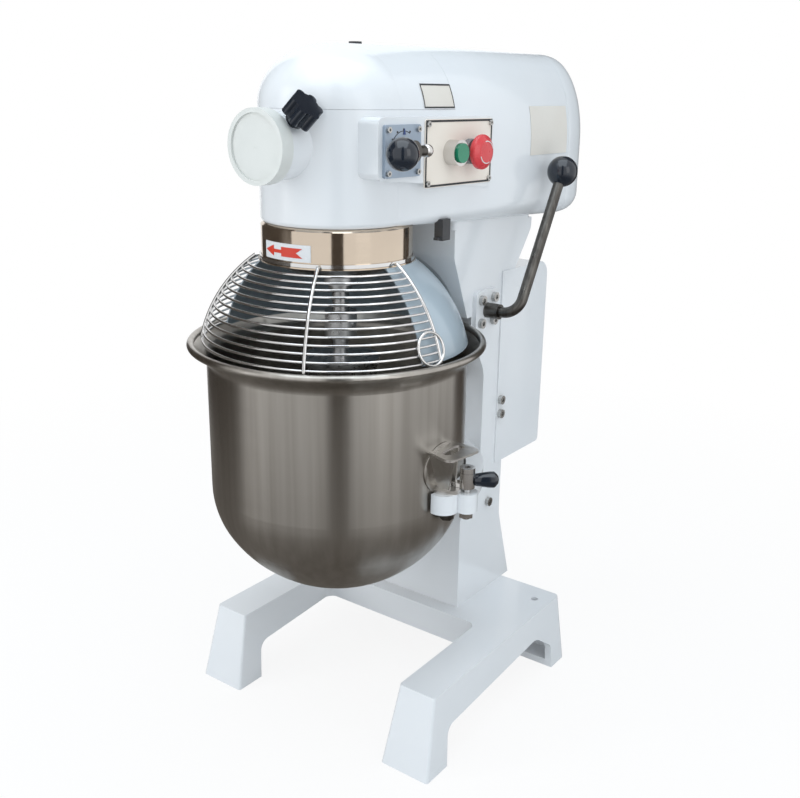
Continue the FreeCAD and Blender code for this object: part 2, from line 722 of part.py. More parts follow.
def make_head_casting(outer, inner):
    room = fused(inner[:2] + [control_boss(HEAD_WALL)])
    room = room.cut(bulkhead(WEB_FRONT_Y, WEB_FRONT_HALF)).cut(bulkhead(WEB_REAR_Y, HEAD_HALF))
    casting = fused(outer[:2] + [control_boss(0), neck_pad()])
    casting = casting.cut(room).cut(lid_cutter(0))
    seat = SPLASH_R + LEDGE + 1
    casting = casting.cut(rod(seat, (0, 0, HEAD_BOTTOM_REAR - 5), (0, 0, HEAD_BOTTOM_FRONT)))
    casting = casting.cut(box(-200, 200, TAIL_START, TAIL_START + 9, 500, HEAD_TOP + 50))
    barrel = hub_barrel(HUB_R, NOSE_R - 26, HUB_REACH)
    boss = rod(BEARING_R + 10, (0, 0, HEAD_BOTTOM_FRONT + 1), (0, 0, HEAD_BOTTOM_FRONT + 28))
    casting = casting.fuse([barrel, boss])
    casting = casting.cut(hub_barrel(HUB_BORE_R, NOSE_R - 30, HUB_REACH + 1))
    casting = casting.cut(rod(BEARING_R, (0, 0, HEAD_BOTTOM_FRONT - 1), (0, 0, HEAD_BOTTOM_FRONT + 40)))
    for z in (HUB_Z, LAY_Z):
        for y in (WEB_FRONT_Y, WEB_REAR_Y):
            casting = casting.cut(rod(BEARING_OUT, (0, y - 1, z), (0, y + WEB_THICK + 1, z)))
    way_y = NECK_FRONT + 28
    casting = casting.cut(rod(20, (0, way_y, NECK_TOP_Z - 5), (0, way_y, HEAD_BOTTOM_FRONT + 10)))
    holes = ((START_Y, BUTTON_Z, SHANK_R), (STOP_Y, BUTTON_Z, SHANK_R), (DIAL_Y, DIAL_Z, DIAL_SHAFT_R))
    for y, z, radius in holes:
        casting = casting.cut(on_panel(rod(radius + RUN, (PANEL_X - 30, y, z), (PANEL_X + 1, y, z))))
    hole_start, hole_end = knob_axis_point(HUB_BORE_R - 2), knob_axis_point(HUB_R + 5)
    knob_hole = rod(KNOB_STUD_R + RUN, tuple(hole_start), tuple(hole_end))
    return casting.cut(knob_hole).removeSplitter()


def make_top_cover(outer, thinner):
    lid = fused(outer[:2]).common(lid_cutter(-SEAM_GAP))
    lid = lid.cut(thinner[0]).cut(thinner[1])
    return lid.cut(rod(PLUG_R - 1.6, (0, PLUG_Y, HEAD_TOP - 12), (0, PLUG_Y, HEAD_TOP + 5)))


def make_rear_cover(outer, inner):
    rear = outer[2].cut(inner[2])
    return rear.common(box(-200, 200, TAIL_START + SEAM_GAP, TAIL_START + 200, 500, HEAD_TOP + 50))


def knob_axis_point(radius):
    """Point on the thumb screw's axis at this distance from the hub's axis."""
    a = math.radians(KNOB_TILT_DEG)
    return V(radius * math.cos(a), -(HUB_REACH - KNOB_BACK), HUB_Z + radius * math.sin(a))


def make_star_knob():
    """Lobed thumb screw that clamps an attachment in the hub; drawn upright, then tilted."""
    core = rod(KNOB_R - 4, (0, 0, 0), (0, 0, 20))
    lobes = []
    for i in range(KNOB_LOBES):
        foot = polar(KNOB_R - 5.5, 360 / KNOB_LOBES * i)
        lobes.append(rod(5.5, (foot.x, foot.y, 0), (foot.x, foot.y, 20)))
    neck = rod(10, (0, 0, -7), (0, 0, 0))
    stud = rod(KNOB_STUD_R, (0, 0, -(HUB_R + 10 - HUB_BORE_R)), (0, 0, 0))
    knob = fused([core, neck, stud] + lobes)
    base = knob_axis_point(HUB_R + 11)
    direction = (knob_axis_point(2) - knob_axis_point(1)).normalize()
    knob.Placement = FreeCAD.Placement(base, FreeCAD.Rotation(V(0, 0, 1), direction))
    return knob


def make_hub_cap():
    """Cover over the hub mouth: a disc with a raised ring and a plug that enters the bore."""
    face_y = -HUB_REACH - GAP
    disc = rod(CAP_R, (0, face_y - CAP_THICK, HUB_Z), (0, face_y, HUB_Z))
    dish = tube(CAP_R - 5, 0.1, (0, face_y - CAP_THICK - 1, HUB_Z), (0, face_y - CAP_THICK + 2, HUB_Z))
    skirt = tube(CAP_R, HUB_R + GAP, (0, face_y, HUB_Z), (0, face_y + CAP_SKIRT, HUB_Z))
    plug = rod(HUB_BORE_R - GAP, (0, face_y, HUB_Z), (0, face_y + CAP_SKIRT + 3, HUB_Z))
    return fused([disc.cut(dish), skirt, plug])


def make_top_plug():
    head = rod(PLUG_R, (0, PLUG_Y, HEAD_TOP), (0, PLUG_Y, HEAD_TOP + 3))
    stem = rod(PLUG_R - 1.6, (0, PLUG_Y, HEAD_TOP - LID_WALL - 3), (0, PLUG_Y, HEAD_TOP))
    return fused([head, stem])


# ================================================================ gearbox, motor and planetary drive
def make_output_shaft():
    front = -HUB_REACH + HUB_BORE_DEPTH
    shaft = rod(SHAFT_R, (0, front + 22, HUB_Z), (0, WEB_REAR_Y + WEB_THICK, HUB_Z))
    socket = rod(HUB_BORE_R - 6, (0, front, HUB_Z), (0, front + 26, HUB_Z))
    drive = box(-7, 7, front - 1, front + 18, HUB_Z - 7, HUB_Z + 7)
    return fused([shaft, socket]).cut(drive)


def make_gear_cluster():
    """Three wheels of one block on the output shaft; only the first is in mesh."""
    wheels = []
    for i, teeth in enumerate(CLUSTER_TEETH):
        wheel = gear_blank(teeth, 90 + 180 / teeth, GEAR_FACE)
        wheels.append(along_y(wheel, 0, GEARBOX_Y + GEAR_STEP * i, HUB_Z))
    end = GEARBOX_Y + GEAR_STEP * len(CLUSTER_TEETH)
    sleeve = rod(SHAFT_R + 5, (0, GEARBOX_Y, HUB_Z), (0, end, HUB_Z))
    bore = rod(SHAFT_R, (0, GEARBOX_Y - 1, HUB_Z), (0, end + 1, HUB_Z))
    return fused(wheels + [sleeve]).cut(bore)


def make_layshaft():
    """Shaft with three wheels for the cluster and the large wheel that the motor drives."""
    pieces = [rod(LAY_SHAFT_R, (0, WEB_FRONT_Y, LAY_Z), (0, DRIVEN_Y + GEAR_FACE + 2, LAY_Z))]
    for i, teeth in enumerate(LAY_TEETH):
        face = GEAR_FACE if i == 0 else GEAR_FACE - 4
        pieces.append(along_y(gear_blank(teeth, -90, face), 0, GEARBOX_Y + LAY_STEP * i, LAY_Z))
    pieces.append(along_y(gear_blank(DRIVEN_TEETH, -90, GEAR_FACE), 0, DRIVEN_Y, LAY_Z))
    return fused(pieces)


def make_motor_rotor():
    back = MOTOR_FRONT + MOTOR_LENGTH
    shaft = rod(SHAFT_R, (0, DRIVEN_Y - 2, HUB_Z), (0, back + 8, HUB_Z))
    pinion = gear_blank(DRIVE_TEETH, 90 + 180 / DRIVE_TEETH, GEAR_FACE + 2)
    core = rod(ROTOR_R, (0, MOTOR_FRONT + MOTOR_END + 1, HUB_Z), (0, back - MOTOR_END - 1, HUB_Z))
    return fused([shaft, along_y(pinion, 0, DRIVEN_Y - 1, HUB_Z), core])


def make_motor_stator(inner):
    """Foot-mounted motor body with cooling fins; its foot follows the floor of the head."""
    back = MOTOR_FRONT + MOTOR_LENGTH
    pieces = [rod(MOTOR_R, (0, MOTOR_FRONT, HUB_Z), (0, back, HUB_Z))]
    for i in range(18):
        fin = box(-1.5, 1.5, MOTOR_FRONT + 22, back - 22, MOTOR_R - 2, MOTOR_R + 4)
        fin.rotate(V(0, 0, 0), V(0, 1, 0), 20 * i)
        fin.translate(V(0, 0, HUB_Z))
        pieces.append(fin)
    foot = box(-48, 48, MOTOR_FRONT + 10, TAIL_START - 20, HEAD_BOTTOM_REAR - 5, HUB_Z - MOTOR_R + 12)
    pieces.append(foot.common(inner[1]))
    body = fused(pieces)
    room = rod(ROTOR_R + 1, (0, MOTOR_FRONT + MOTOR_END, HUB_Z), (0, back - MOTOR_END, HUB_Z))
    bore = rod(SHAFT_R + RUN, (0, MOTOR_FRONT - 1, HUB_Z), (0, back + 1, HUB_Z))
    return body.cut(room).cut(bore)


def make_shaft_bearings():
    """Bearing rings pressed into the head casting."""
    low = HEAD_BOTTOM_FRONT + 2
    rings = [tube(BEARING_R, MAIN_SHAFT_R + RUN, (0, 0, low), (0, 0, low + 24))]
    hub_front = -HUB_REACH + HUB_BORE_DEPTH + 2
    rings.append(tube(HUB_BORE_R, HUB_BORE_R - 6 + RUN, (0, hub_front, HUB_Z), (0, hub_front + 16, HUB_Z)))
    for z, radius in ((HUB_Z, SHAFT_R), (LAY_Z, LAY_SHAFT_R)):
        for y in (WEB_FRONT_Y, WEB_REAR_Y):
            rings.append(tube(BEARING_OUT, radius + RUN, (0, y, z), (0, y + WEB_THICK, z)))
    return Part.makeCompound(rings)


def make_bevel_gear():
    """Crown wheel on the upright shaft; its pitch cone meets the pinion's."""
    z = HUB_Z - BEVEL_PINION_R
    slope = BEVEL_PINION_R / BEVEL_GEAR_R
    inner = BEVEL_GEAR_R - BEVEL_FACE
    points = [
        (MAIN_SHAFT_R, z - 12),
        (BEVEL_GEAR_R - 6, z - 12),
        (BEVEL_GEAR_R, z - 6),
        (BEVEL_GEAR_R, z - 0.5),
        (inner, z + BEVEL_FACE * slope - 0.5),
        (inner - 6, z),
        (MAIN_SHAFT_R, z),
    ]
    gear = turned(points)
    return gear.cut(bevel_grooves(BEVEL_TEETH))


def bevel_grooves(count):
    """Shallow radial slots that show the teeth of the crown wheel."""
    z = HUB_Z - BEVEL_PINION_R
    slots = []
    for i in range(count):
        slot = box(BEVEL_GEAR_R - BEVEL_FACE - 2, BEVEL_GEAR_R + 2, -1.4, 1.4, z - 3, z + 12)
        slot.rotate(V(0, 0, z), V(0, 1, 0), math.degrees(math.atan(BEVEL_PINION_R / BEVEL_GEAR_R)))
        slot.translate(V(0, 0, 12.5))
        slot.rotate(V(0, 0, 0), V(0, 0, 1), 360 / count * i)
        slots.append(slot)
    return Part.makeCompound(slots)


def make_bevel_pinion():
    slope = BEVEL_PINION_R / BEVEL_GEAR_R
    back = BEVEL_GEAR_R
    front = BEVEL_GEAR_R - BEVEL_FACE
    points = [
        (SHAFT_R, front),
        (front * slope - 0.5, front),
        (BEVEL_PINION_R - 0.5, back),
        (BEVEL_PINION_R - 3, back + 4),
        (SHAFT_R, back + 4),
    ]
    pinion = along_y(turned(points), 0, 0, HUB_Z)
    return pinion


def make_main_shaft():
    top = HUB_Z - BEVEL_PINION_R + 2
    return rod(MAIN_SHAFT_R, (0, 0, CARRIER_LOW_Z + 8), (0, 0, top))


def make_ring_gear():
    low = CARRIER_TOP_Z + 3
    pitch = GEAR_MODULE * RING_TEETH / 2
    tip = pitch - 0.9 * GEAR_MODULE
    root = pitch + 1.25 * GEAR_MODULE
    body = rod(RING_GEAR_R, (0, 0, low), (0, 0, HEAD_BOTTOM_FRONT))
    inside = prism(tooth_points(RING_TEETH, tip, root, pitch, PLANET_REST_DEG), "xy",
                   low - 1, low + PLANET_FACE + 2)
    return body.cut(inside).cut(rod(root + 1, (0, 0, low + PLANET_FACE + 2), (0, 0, HEAD_BOTTOM_FRONT + 1)))


def make_planet_gear():
    gear = gear_blank(PLANET_TEETH, PLANET_REST_DEG + 180 / PLANET_TEETH, PLANET_FACE)
    gear = gear.cut(rod(TOOL_SHAFT_R, (0, 0, -1), (0, 0, PLANET_FACE + 1)))
    return gear.translate(V(PLANET_X, PLANET_Y, CARRIER_TOP_Z + 3))


def make_planet_carrier():
    points = [
        (MAIN_SHAFT_R, CARRIER_TOP_Z),
        (CARRIER_R, CARRIER_TOP_Z),
        (CARRIER_R, CARRIER_LOW_Z + 10, 8),
        (CARRIER_R - 22, CARRIER_LOW_Z, 12),
        (MAIN_SHAFT_R, CARRIER_LOW_Z),
    ]
    drum = turned(points)
    cap = rod(MAIN_SHAFT_R + 1, (0, 0, CARRIER_LOW_Z), (0, 0, CARRIER_LOW_Z + 8))
    boss = rod(TOOL_SHAFT_R + 9, (PLANET_X, PLANET_Y, CARRIER_LOW_Z - 8), (PLANET_X, PLANET_Y, CARRIER_TOP_Z))
    bore_low = (PLANET_X, PLANET_Y, CARRIER_LOW_Z - 9)
    bore = rod(TOOL_SHAFT_R + RUN, bore_low, (PLANET_X, PLANET_Y, CARRIER_TOP_Z + 1))
    return fused([drum, cap, boss]).cut(bore)


def make_agitator_shaft():
    low = (PLANET_X, PLANET_Y, TOOL_SHAFT_LOW_Z + 16)
    high = (PLANET_X, PLANET_Y, CARRIER_TOP_Z + 3 + PLANET_FACE + 1)
    shaft = rod(TOOL_SHAFT_R, low, high)
    collar_z = CARRIER_LOW_Z - 8 - GAP
    collar = rod(TOOL_SHAFT_R + 4, (PLANET_X, PLANET_Y, collar_z - 5), (PLANET_X, PLANET_Y, collar_z))
    reach = WHISK_COLLAR_R + 2
    pin = rod(3, (PLANET_X - reach, PLANET_Y, BAYONET_Z), (PLANET_X + reach, PLANET_Y, BAYONET_Z))
    return fused([shaft, collar, pin])


def make_whisk_hub():
    at = (PLANET_X, PLANET_Y)
    low = WHISK_COLLAR_LOW
    collar = rod(WHISK_COLLAR_R, at + (low,), at + (WHISK_COLLAR_TOP,))
    neck = rod(WHISK_NECK_R, at + (WHISK_DISC_Z - WHISK_DISC_THICK,), at + (low,))
    disc = rod(WHISK_DISC_R, at + (WHISK_DISC_Z - WHISK_DISC_THICK,), at + (WHISK_DISC_Z,))
    bore = rod(TOOL_SHAFT_R, at + (TOOL_SHAFT_LOW_Z + 16,), at + (WHISK_COLLAR_TOP + 1,))
    slot = rod(3, (PLANET_X - 30, PLANET_Y, BAYONET_Z), (PLANET_X + 30, PLANET_Y, BAYONET_Z))
    hub = fused([collar, neck, disc]).cut(bore).cut(slot)
    for i in range(2 * WHISK_LOOPS):
        at_disc = polar(WHISK_DISC_R - 5, 360 / (2 * WHISK_LOOPS) * (i + 0.5))
        wire_at = (at_disc.x + at[0], at_disc.y + at[1])
        hole_low = wire_at + (WHISK_DISC_Z - WHISK_DISC_THICK - 1,)
        hub = hub.cut(rod(WHISK_WIRE_R, hole_low, wire_at + (WHISK_DISC_Z - 2,)))
    return hub


def whisk_low():
    """Height of the whisk's lowest wire centre above the bowl's inside at the tool axis."""
    crown = bowl_crown()
    floor = BOWL_BOTTOM + crown - math.sqrt((crown - BOWL_WALL) ** 2 - PLANET_OFFSET ** 2)
    return floor + WHISK_CLEAR + WHISK_WIRE_R


def whisk_half_loop(angle):
    """One bent wire from the disc out to its widest point and in to the axis at the bottom."""
    low = whisk_low()
    top = WHISK_DISC_Z - 2
    start = WHISK_DISC_R - 5
    knots = [(start, top), (start, top - 12)]
    knots += [(WHISK_R * share, low + rise) for share, rise in WHISK_SHAPE]
    points = [V(x, 0, z) for x, z in knots]
    curve = Part.BSplineCurve()
    curve.interpolate(points)
    path = Part.Wire([curve.toShape()])
    section = Part.Wire([Part.Circle(points[0], V(0, 0, 1), WHISK_WIRE_R).toShape()])
    wire = path.makePipeShell([section], True, True)
    wire.rotate(V(0, 0, 0), V(0, 0, 1), angle)
    return wire.translate(V(PLANET_X, PLANET_Y, 0))


def make_whisk_wires():
    step = 360 / (2 * WHISK_LOOPS)
    loops = [whisk_half_loop(step * (i + 0.5)) for i in range(2 * WHISK_LOOPS)]
    low = whisk_low() - WHISK_WIRE_R - 0.5
    tip = rod(9, (PLANET_X, PLANET_Y, low), (PLANET_X, PLANET_Y, low + 2 * WHISK_WIRE_R + 2))
    return fused([tip] + loops)


# ================================================================ splash ring and guard
def make_splash_ring():
    """Chrome ring under the head; the guard's band turns on its outward lip."""
    inner = SPLASH_R - SPLASH_WALL
    flange = RING_GEAR_R + GAP
    points = [
        (inner, SPLASH_LOW_Z),
        (SPLASH_R + LEDGE, SPLASH_LOW_Z),
        (SPLASH_R + LEDGE, SPLASH_LOW_Z + LEDGE_THICK),
        (SPLASH_R, SPLASH_LOW_Z + LEDGE_THICK),
        (SPLASH_R, HEAD_BOTTOM_FRONT - 3),
        (SPLASH_R - 3, HEAD_BOTTOM_FRONT),
        (flange, HEAD_BOTTOM_FRONT),
        (flange, HEAD_BOTTOM_FRONT - 2.5),
        (inner, HEAD_BOTTOM_FRONT - 2.5),
    ]
    return turned(points)


def dome_point(radius, elevation_deg, azimuth_deg):
    a = math.radians(elevation_deg)
    flat = polar(radius * math.cos(a), azimuth_deg)
    return V(flat.x, flat.y, DOME_Z + radius * math.sin(a))


def hoop(elevation_deg, radius, wire, from_deg, to_deg):
    """Level wire round the dome between two azimuths."""
    a = math.radians(elevation_deg)
    level = DOME_Z + radius * math.sin(a)
    ring = Part.makeTorus(radius * math.cos(a), wire, V(0, 0, level), V(0, 0, 1), 0, 360, to_deg - from_deg)
    ring.rotate(V(0, 0, 0), V(0, 0, 1), from_deg)
    return ring


def rib(azimuth_deg, radius, wire, low_deg, high_deg):
    """Upright wire over the dome, drawn in the plane y = 0 and turned to its azimuth."""
    start = dome_point(radius, low_deg, 0)
    tangent = V(-math.sin(math.radians(low_deg)), 0, math.cos(math.radians(low_deg)))
    disc = Part.Face(Part.Wire([Part.Circle(start, tangent, wire).toShape()]))
    solid = disc.revolve(V(0, 0, DOME_Z), V(0, -1, 0), high_deg - low_deg)
    solid.rotate(V(0, 0, 0), V(0, 0, 1), azimuth_deg)
    return solid


def make_wire_guard():
    """Swinging front cage: level wires, ribs, a band round the splash ring and a finger loop."""
    step = (WIRE_HIGH_DEG - WIRE_LOW_DEG) / (WIRES - 1)
    wires = [hoop(WIRE_LOW_DEG + step * i, DOME_R, WIRE_R, CAGE_FROM_DEG, CAGE_TO_DEG) for i in range(WIRES)]
    band_low = SPLASH_LOW_Z + LEDGE_THICK + GAP
    inner = SPLASH_R + GAP
    band = tube(inner + BAND_WALL, inner, (0, 0, band_low), (0, 0, band_low + BAND_HEIGHT))
    ribs = [rib(a, WIRE_CENTRE_R, RIB_R, WIRE_LOW_DEG - 1, RIB_TOP_DEG) for a in RIB_DEG]
    spokes = []
    for azimuth in RIB_DEG:
        inner_end = polar(inner + BAND_WALL / 2, azimuth, band_low + BAND_HEIGHT / 2)
        outer_end = dome_point(WIRE_CENTRE_R, RIB_TOP_DEG - 0.5, azimuth)
        spokes.append(rod(WIRE_R, tuple(inner_end), tuple(outer_end)))
    centre = dome_point(WIRE_CENTRE_R + 1, 18.3, CAGE_TO_DEG - 4.4)
    normal = (centre - V(0, 0, DOME_Z)).normalize()
    loop = Part.makeTorus(LOOP_R, RIB_R - 0.4, centre, normal)
    return fused(wires + ribs + spokes + [band, loop])


def make_guard_shell():
    """Fixed rear half of the guard, a thin dome hung under the splash ring."""
    top_z = SPLASH_LOW_Z - SHELL_WALL
    inner_r = SHELL_R - SHELL_WALL
    low = math.radians(WIRE_LOW_DEG - 1)
    low_in = math.asin(SHELL_R * math.sin(low) / inner_r)
    high = math.asin((top_z - DOME_Z) / SHELL_R)
    high_in = math.asin((top_z - DOME_Z) / inner_r)
    tip = SPLASH_R - SPLASH_WALL

    def at(radius, angle):
        return V(radius * math.cos(angle), 0, DOME_Z + radius * math.sin(angle))

    middle = (low + high) / 2
    shoulder = V(at(SHELL_R, high).x, 0, SPLASH_LOW_Z)
    corners = [at(SHELL_R, high), shoulder, V(tip, 0, SPLASH_LOW_Z), V(tip, 0, top_z), at(inner_r, high_in)]
    edges = [Part.Arc(at(SHELL_R, low), at(SHELL_R, middle), at(SHELL_R, high)).toShape()]
    edges += [Part.LineSegment(corners[i], corners[i + 1]).toShape() for i in range(4)]
    edges.append(Part.Arc(at(inner_r, high_in), at(inner_r, middle), at(inner_r, low_in)).toShape())
    edges.append(Part.LineSegment(at(inner_r, low_in), at(SHELL_R, low)).toShape())
    face = Part.Face(Part.Wire(edges))
    shell = face.revolve(V(0, 0, 0), V(0, 0, 1), SHELL_TO_DEG - SHELL_FROM_DEG)
    shell.rotate(V(0, 0, 0), V(0, 0, 1), SHELL_FROM_DEG)
    return shell


def make_guard_switch(outer):
    """Small interlock switch under the head, beside the splash ring."""
    x, y = SWITCH_X, SWITCH_Y
    low = HEAD_BOTTOM_FRONT - SWITCH_DEPTH
    body = box(x, x + SWITCH_WIDTH, y, y + SWITCH_LENGTH, low, HEAD_BOTTOM_FRONT + 3)
    lever = box(x + 3, x + SWITCH_WIDTH - 3, y - 6, y, low + 1, low + 4)
    return fused([body, lever]).cut(outer[1])


# ================================================================ bowl and its ears
def bowl_crown():
    """Radius of the middle of the bowl's bottom, so that it runs smoothly into the knuckle."""
    side = BOWL_R - BOWL_KNUCKLE
    return (side ** 2 + BOWL_DISH ** 2 - BOWL_KNUCKLE ** 2) / (2 * (BOWL_DISH - BOWL_KNUCKLE))


def dish_arcs(thick):
    """Crown arc and knuckle arc of the bowl's bottom, on the surface this far inside the outer one."""
    side = BOWL_R - BOWL_KNUCKLE
    crown = bowl_crown()
    centre = V(0, 0, BOWL_BOTTOM + crown)
    knuckle = V(side, 0, BOWL_BOTTOM + BOWL_DISH)
    meet = math.atan2(knuckle.z - centre.z, side)

    def at(middle, radius, angle):
        return V(middle.x + (radius - thick) * math.cos(angle), 0, middle.z + (radius - thick) * math.sin(angle))

    low = [at(centre, crown, a) for a in (-math.pi / 2, (meet - math.pi / 2) / 2, meet)]
    high = [at(knuckle, BOWL_KNUCKLE, a) for a in (meet, meet / 2, 0.0)]
    return low, high


def make_bowl():
    top_of_dish = BOWL_BOTTOM + BOWL_DISH
    inner = BOWL_R - BOWL_WALL
    low, high = dish_arcs(0)
    low_in, high_in = dish_arcs(BOWL_WALL)
    edges = [Part.Arc(*low).toShape(), Part.Arc(*high).toShape()]
    edges.append(Part.LineSegment(high[2], high_in[2]).toShape())
    edges += [Part.Arc(*reversed(high_in)).toShape(), Part.Arc(*reversed(low_in)).toShape()]
    edges.append(Part.LineSegment(low_in[0], low[0]).toShape())
    dish = Part.Face(Part.Wire(edges)).revolve(V(0, 0, 0), V(0, 0, 1), 360)
    flare_z = RIM_Z - FLARE_HEIGHT
    lip_r = RIM_R - 2 * RIM_BEAD_R
    wall = turned([
        (inner, top_of_dish),
        (BOWL_R, top_of_dish),
        (BOWL_R, flare_z - BOWL_WALL, 14),
        (lip_r + 3, RIM_Z - 3),
        (lip_r + 2, RIM_Z - 1),
        (inner, flare_z, 12),
    ])
    bead = Part.makeTorus(RIM_R - RIM_BEAD_R, RIM_BEAD_R, V(0, 0, RIM_Z))
    return fused([dish, wall, bead])


def gusset(top_x0, top_x1, top_y, low_x0, low_x1, low_y, low_z):
    """Sheet leg that narrows from the underside of the ear's plate to its foot."""
    levels = []
    for x0, x1, y, z in ((top_x0, top_x1, top_y, EAR_TOP - 1), (low_x0, low_x1, low_y, low_z - 1)):
        levels.append(outline([(x0, y), (x1, y), (x1, y + EAR_SHEET), (x0, y + EAR_SHEET)], "xy", z))
    return Part.makeLoft(levels, True, True)


def make_ear():
    """Right-hand bowl handle: slotted top plate on two legs that end in a foot over the pin."""
    outer = BOWL_R + EAR_REACH
    root = BOWL_R - 8
    plate = prism([
        (root, EAR_FRONT_IN, 2),
        (outer - 4, EAR_FRONT_OUT, 8),
        (outer + 3, EAR_REAR_OUT, 8),
        (root, EAR_REAR_IN, 2),
    ], "xy", EAR_TOP - EAR_SHEET, EAR_TOP)
    x0, x1 = SLOT_X - SLOT_WIDTH / 2, SLOT_X + SLOT_WIDTH / 2
    y0, y1 = SLOT_Y - SLOT_LENGTH / 2, SLOT_Y + SLOT_LENGTH / 2
    corner = SLOT_WIDTH / 2 - 0.01
    slot = prism([(x0, y0, corner), (x1, y0, corner), (x1, y1, corner), (x0, y1, corner)],
                 "xy", EAR_TOP - EAR_SHEET - 1, EAR_TOP + 1)
    foot_z = ARM_TOP + EAR_FOOT_THICK
    front = gusset(root, outer - 6, EAR_FRONT_IN - 4, root, PIN_RADIUS_AT + 9, -12, foot_z)
    rear = gusset(root, root + REAR_LEG, EAR_REAR_IN - 6, root, root + REAR_LEG, 12, foot_z)
    foot = rod(EAR_FOOT_R, (PIN_RADIUS_AT, 0, ARM_TOP), (PIN_RADIUS_AT, 0, foot_z))
    ear = fused([plate.cut(slot), front, rear, foot])
    ear = ear.cut(rod(PIN_R + GAP, (PIN_RADIUS_AT, 0, ARM_TOP - 1), (PIN_RADIUS_AT, 0, foot_z + 1)))
    ear = ear.cut(rod(CAM_R + 1, (POST_X, POST_Y, ARM_TOP - 1), (POST_X, POST_Y, foot_z + 1)))
    return ear.cut(rod(BOWL_R, (0, 0, BOWL_BOTTOM), (0, 0, RIM_Z)))


# ================================================================ carriage, pins and clamps
def make_bowl_yoke():
    """Carriage block and the half ring that carries the bowl by its ears."""
    low = ARM_TOP - ARM_HEIGHT
    ring = tube(YOKE_OUT, YOKE_IN, (0, 0, low), (0, 0, ARM_TOP))
    ring = ring.common(box(-250, 250, -6, 250, low, ARM_TOP))
    pieces = [ring, box(-CARRIAGE_HALF, CARRIAGE_HALF, 150, THROAT_Y - GAP, low, CARRIAGE_TOP)]
    for side in (-1, 1):
        pieces.append(rod(BOSS_R, (side * PIN_RADIUS_AT, -8, low), (side * PIN_RADIUS_AT, -8, ARM_TOP)))
        pieces.append(rod(CAM_R + 4, (side * POST_X, POST_Y, low), (side * POST_X, POST_Y, ARM_TOP)))
    yoke = fused(pieces).cut(rod(YOKE_IN, (0, 0, low - 1), (0, 0, CARRIAGE_TOP + 1)))
    slack = SLIDE_PLAY * 1.5
    yoke = yoke.cut(prism([
        (-SLIDE_NECK - slack, THROAT_Y + 1),
        (-SLIDE_HALF - slack, THROAT_Y - SLIDE_THICK - SLIDE_PLAY),
        (SLIDE_HALF + slack, THROAT_Y - SLIDE_THICK - SLIDE_PLAY),
        (SLIDE_NECK + slack, THROAT_Y + 1),
    ], "xy", low - 1, CARRIAGE_TOP + 1))
    for side in (-1, 1):
        yoke = yoke.cut(rod(POST_R, (side * POST_X, POST_Y, low - 1), (side * POST_X, POST_Y, ARM_TOP + 1)))
    return yoke


def make_lift_bar():
    """Lug bolted into the carriage and the upright bar whose slot takes the crank pin."""
    pin_high = CRANK_R * math.sin(math.radians(LIFT_SWING / 2))
    pin_near = CRANK_R * math.cos(math.radians(LIFT_SWING / 2))
    slot_z = LIFT_Z + pin_high
    half = CRANK_PIN_R + PIN_SLOT_SLACK
    lug = box(LUG_X0, LUG_X1, THROAT_Y - GAP, BAR_REAR, LUG_LOW, LUG_TOP)
    bar = box(LUG_X0, LUG_X1, BAR_FRONT, BAR_REAR, LUG_LOW, slot_z)
    head = box(LUG_X0, LUG_X1, LIFT_Y + pin_near - half - 5, LIFT_Y + CRANK_R + half + 5,
               slot_z - half - 6, slot_z + half + 6)
    slot = box(LUG_X0 - 1, LUG_X1 + 1, LIFT_Y + pin_near - half, LIFT_Y + CRANK_R + half,
               slot_z - half, slot_z + half)
    return fused([lug, bar, head]).cut(slot)


def make_locating_pins():
    pin = rod(PIN_R, (PIN_RADIUS_AT, 0, ARM_TOP), (PIN_RADIUS_AT, 0, ARM_TOP + PIN_HEIGHT - 3))
    tip = Part.makeCone(PIN_R, PIN_R - 2.5, 3, V(PIN_RADIUS_AT, 0, ARM_TOP + PIN_HEIGHT - 3))
    return both_sides(fused([pin, tip]))


def make_clamp_posts():
    """Studs with a socket head above the sleeve and a nut under the arm."""
    low = ARM_TOP - ARM_HEIGHT
    top = CAM_LOW + CAM_HEIGHT + GAP
    stud = rod(POST_R, (POST_X, POST_Y, low - 10), (POST_X, POST_Y, top))
    head = rod(CAM_R, (POST_X, POST_Y, top), (POST_X, POST_Y, top + 6))
    socket = prism([(POST_X + 4 * math.cos(math.radians(60 * i)), POST_Y + 4 * math.sin(math.radians(60 * i)))
                    for i in range(6)], "xy", top + 2, top + 7)
    nut = prism([(POST_X + 9 * math.cos(math.radians(60 * i)), POST_Y + 9 * math.sin(math.radians(60 * i)))
                 for i in range(6)], "xy", low - 8, low)
    return both_sides(fused([stud, head.cut(socket), nut]))


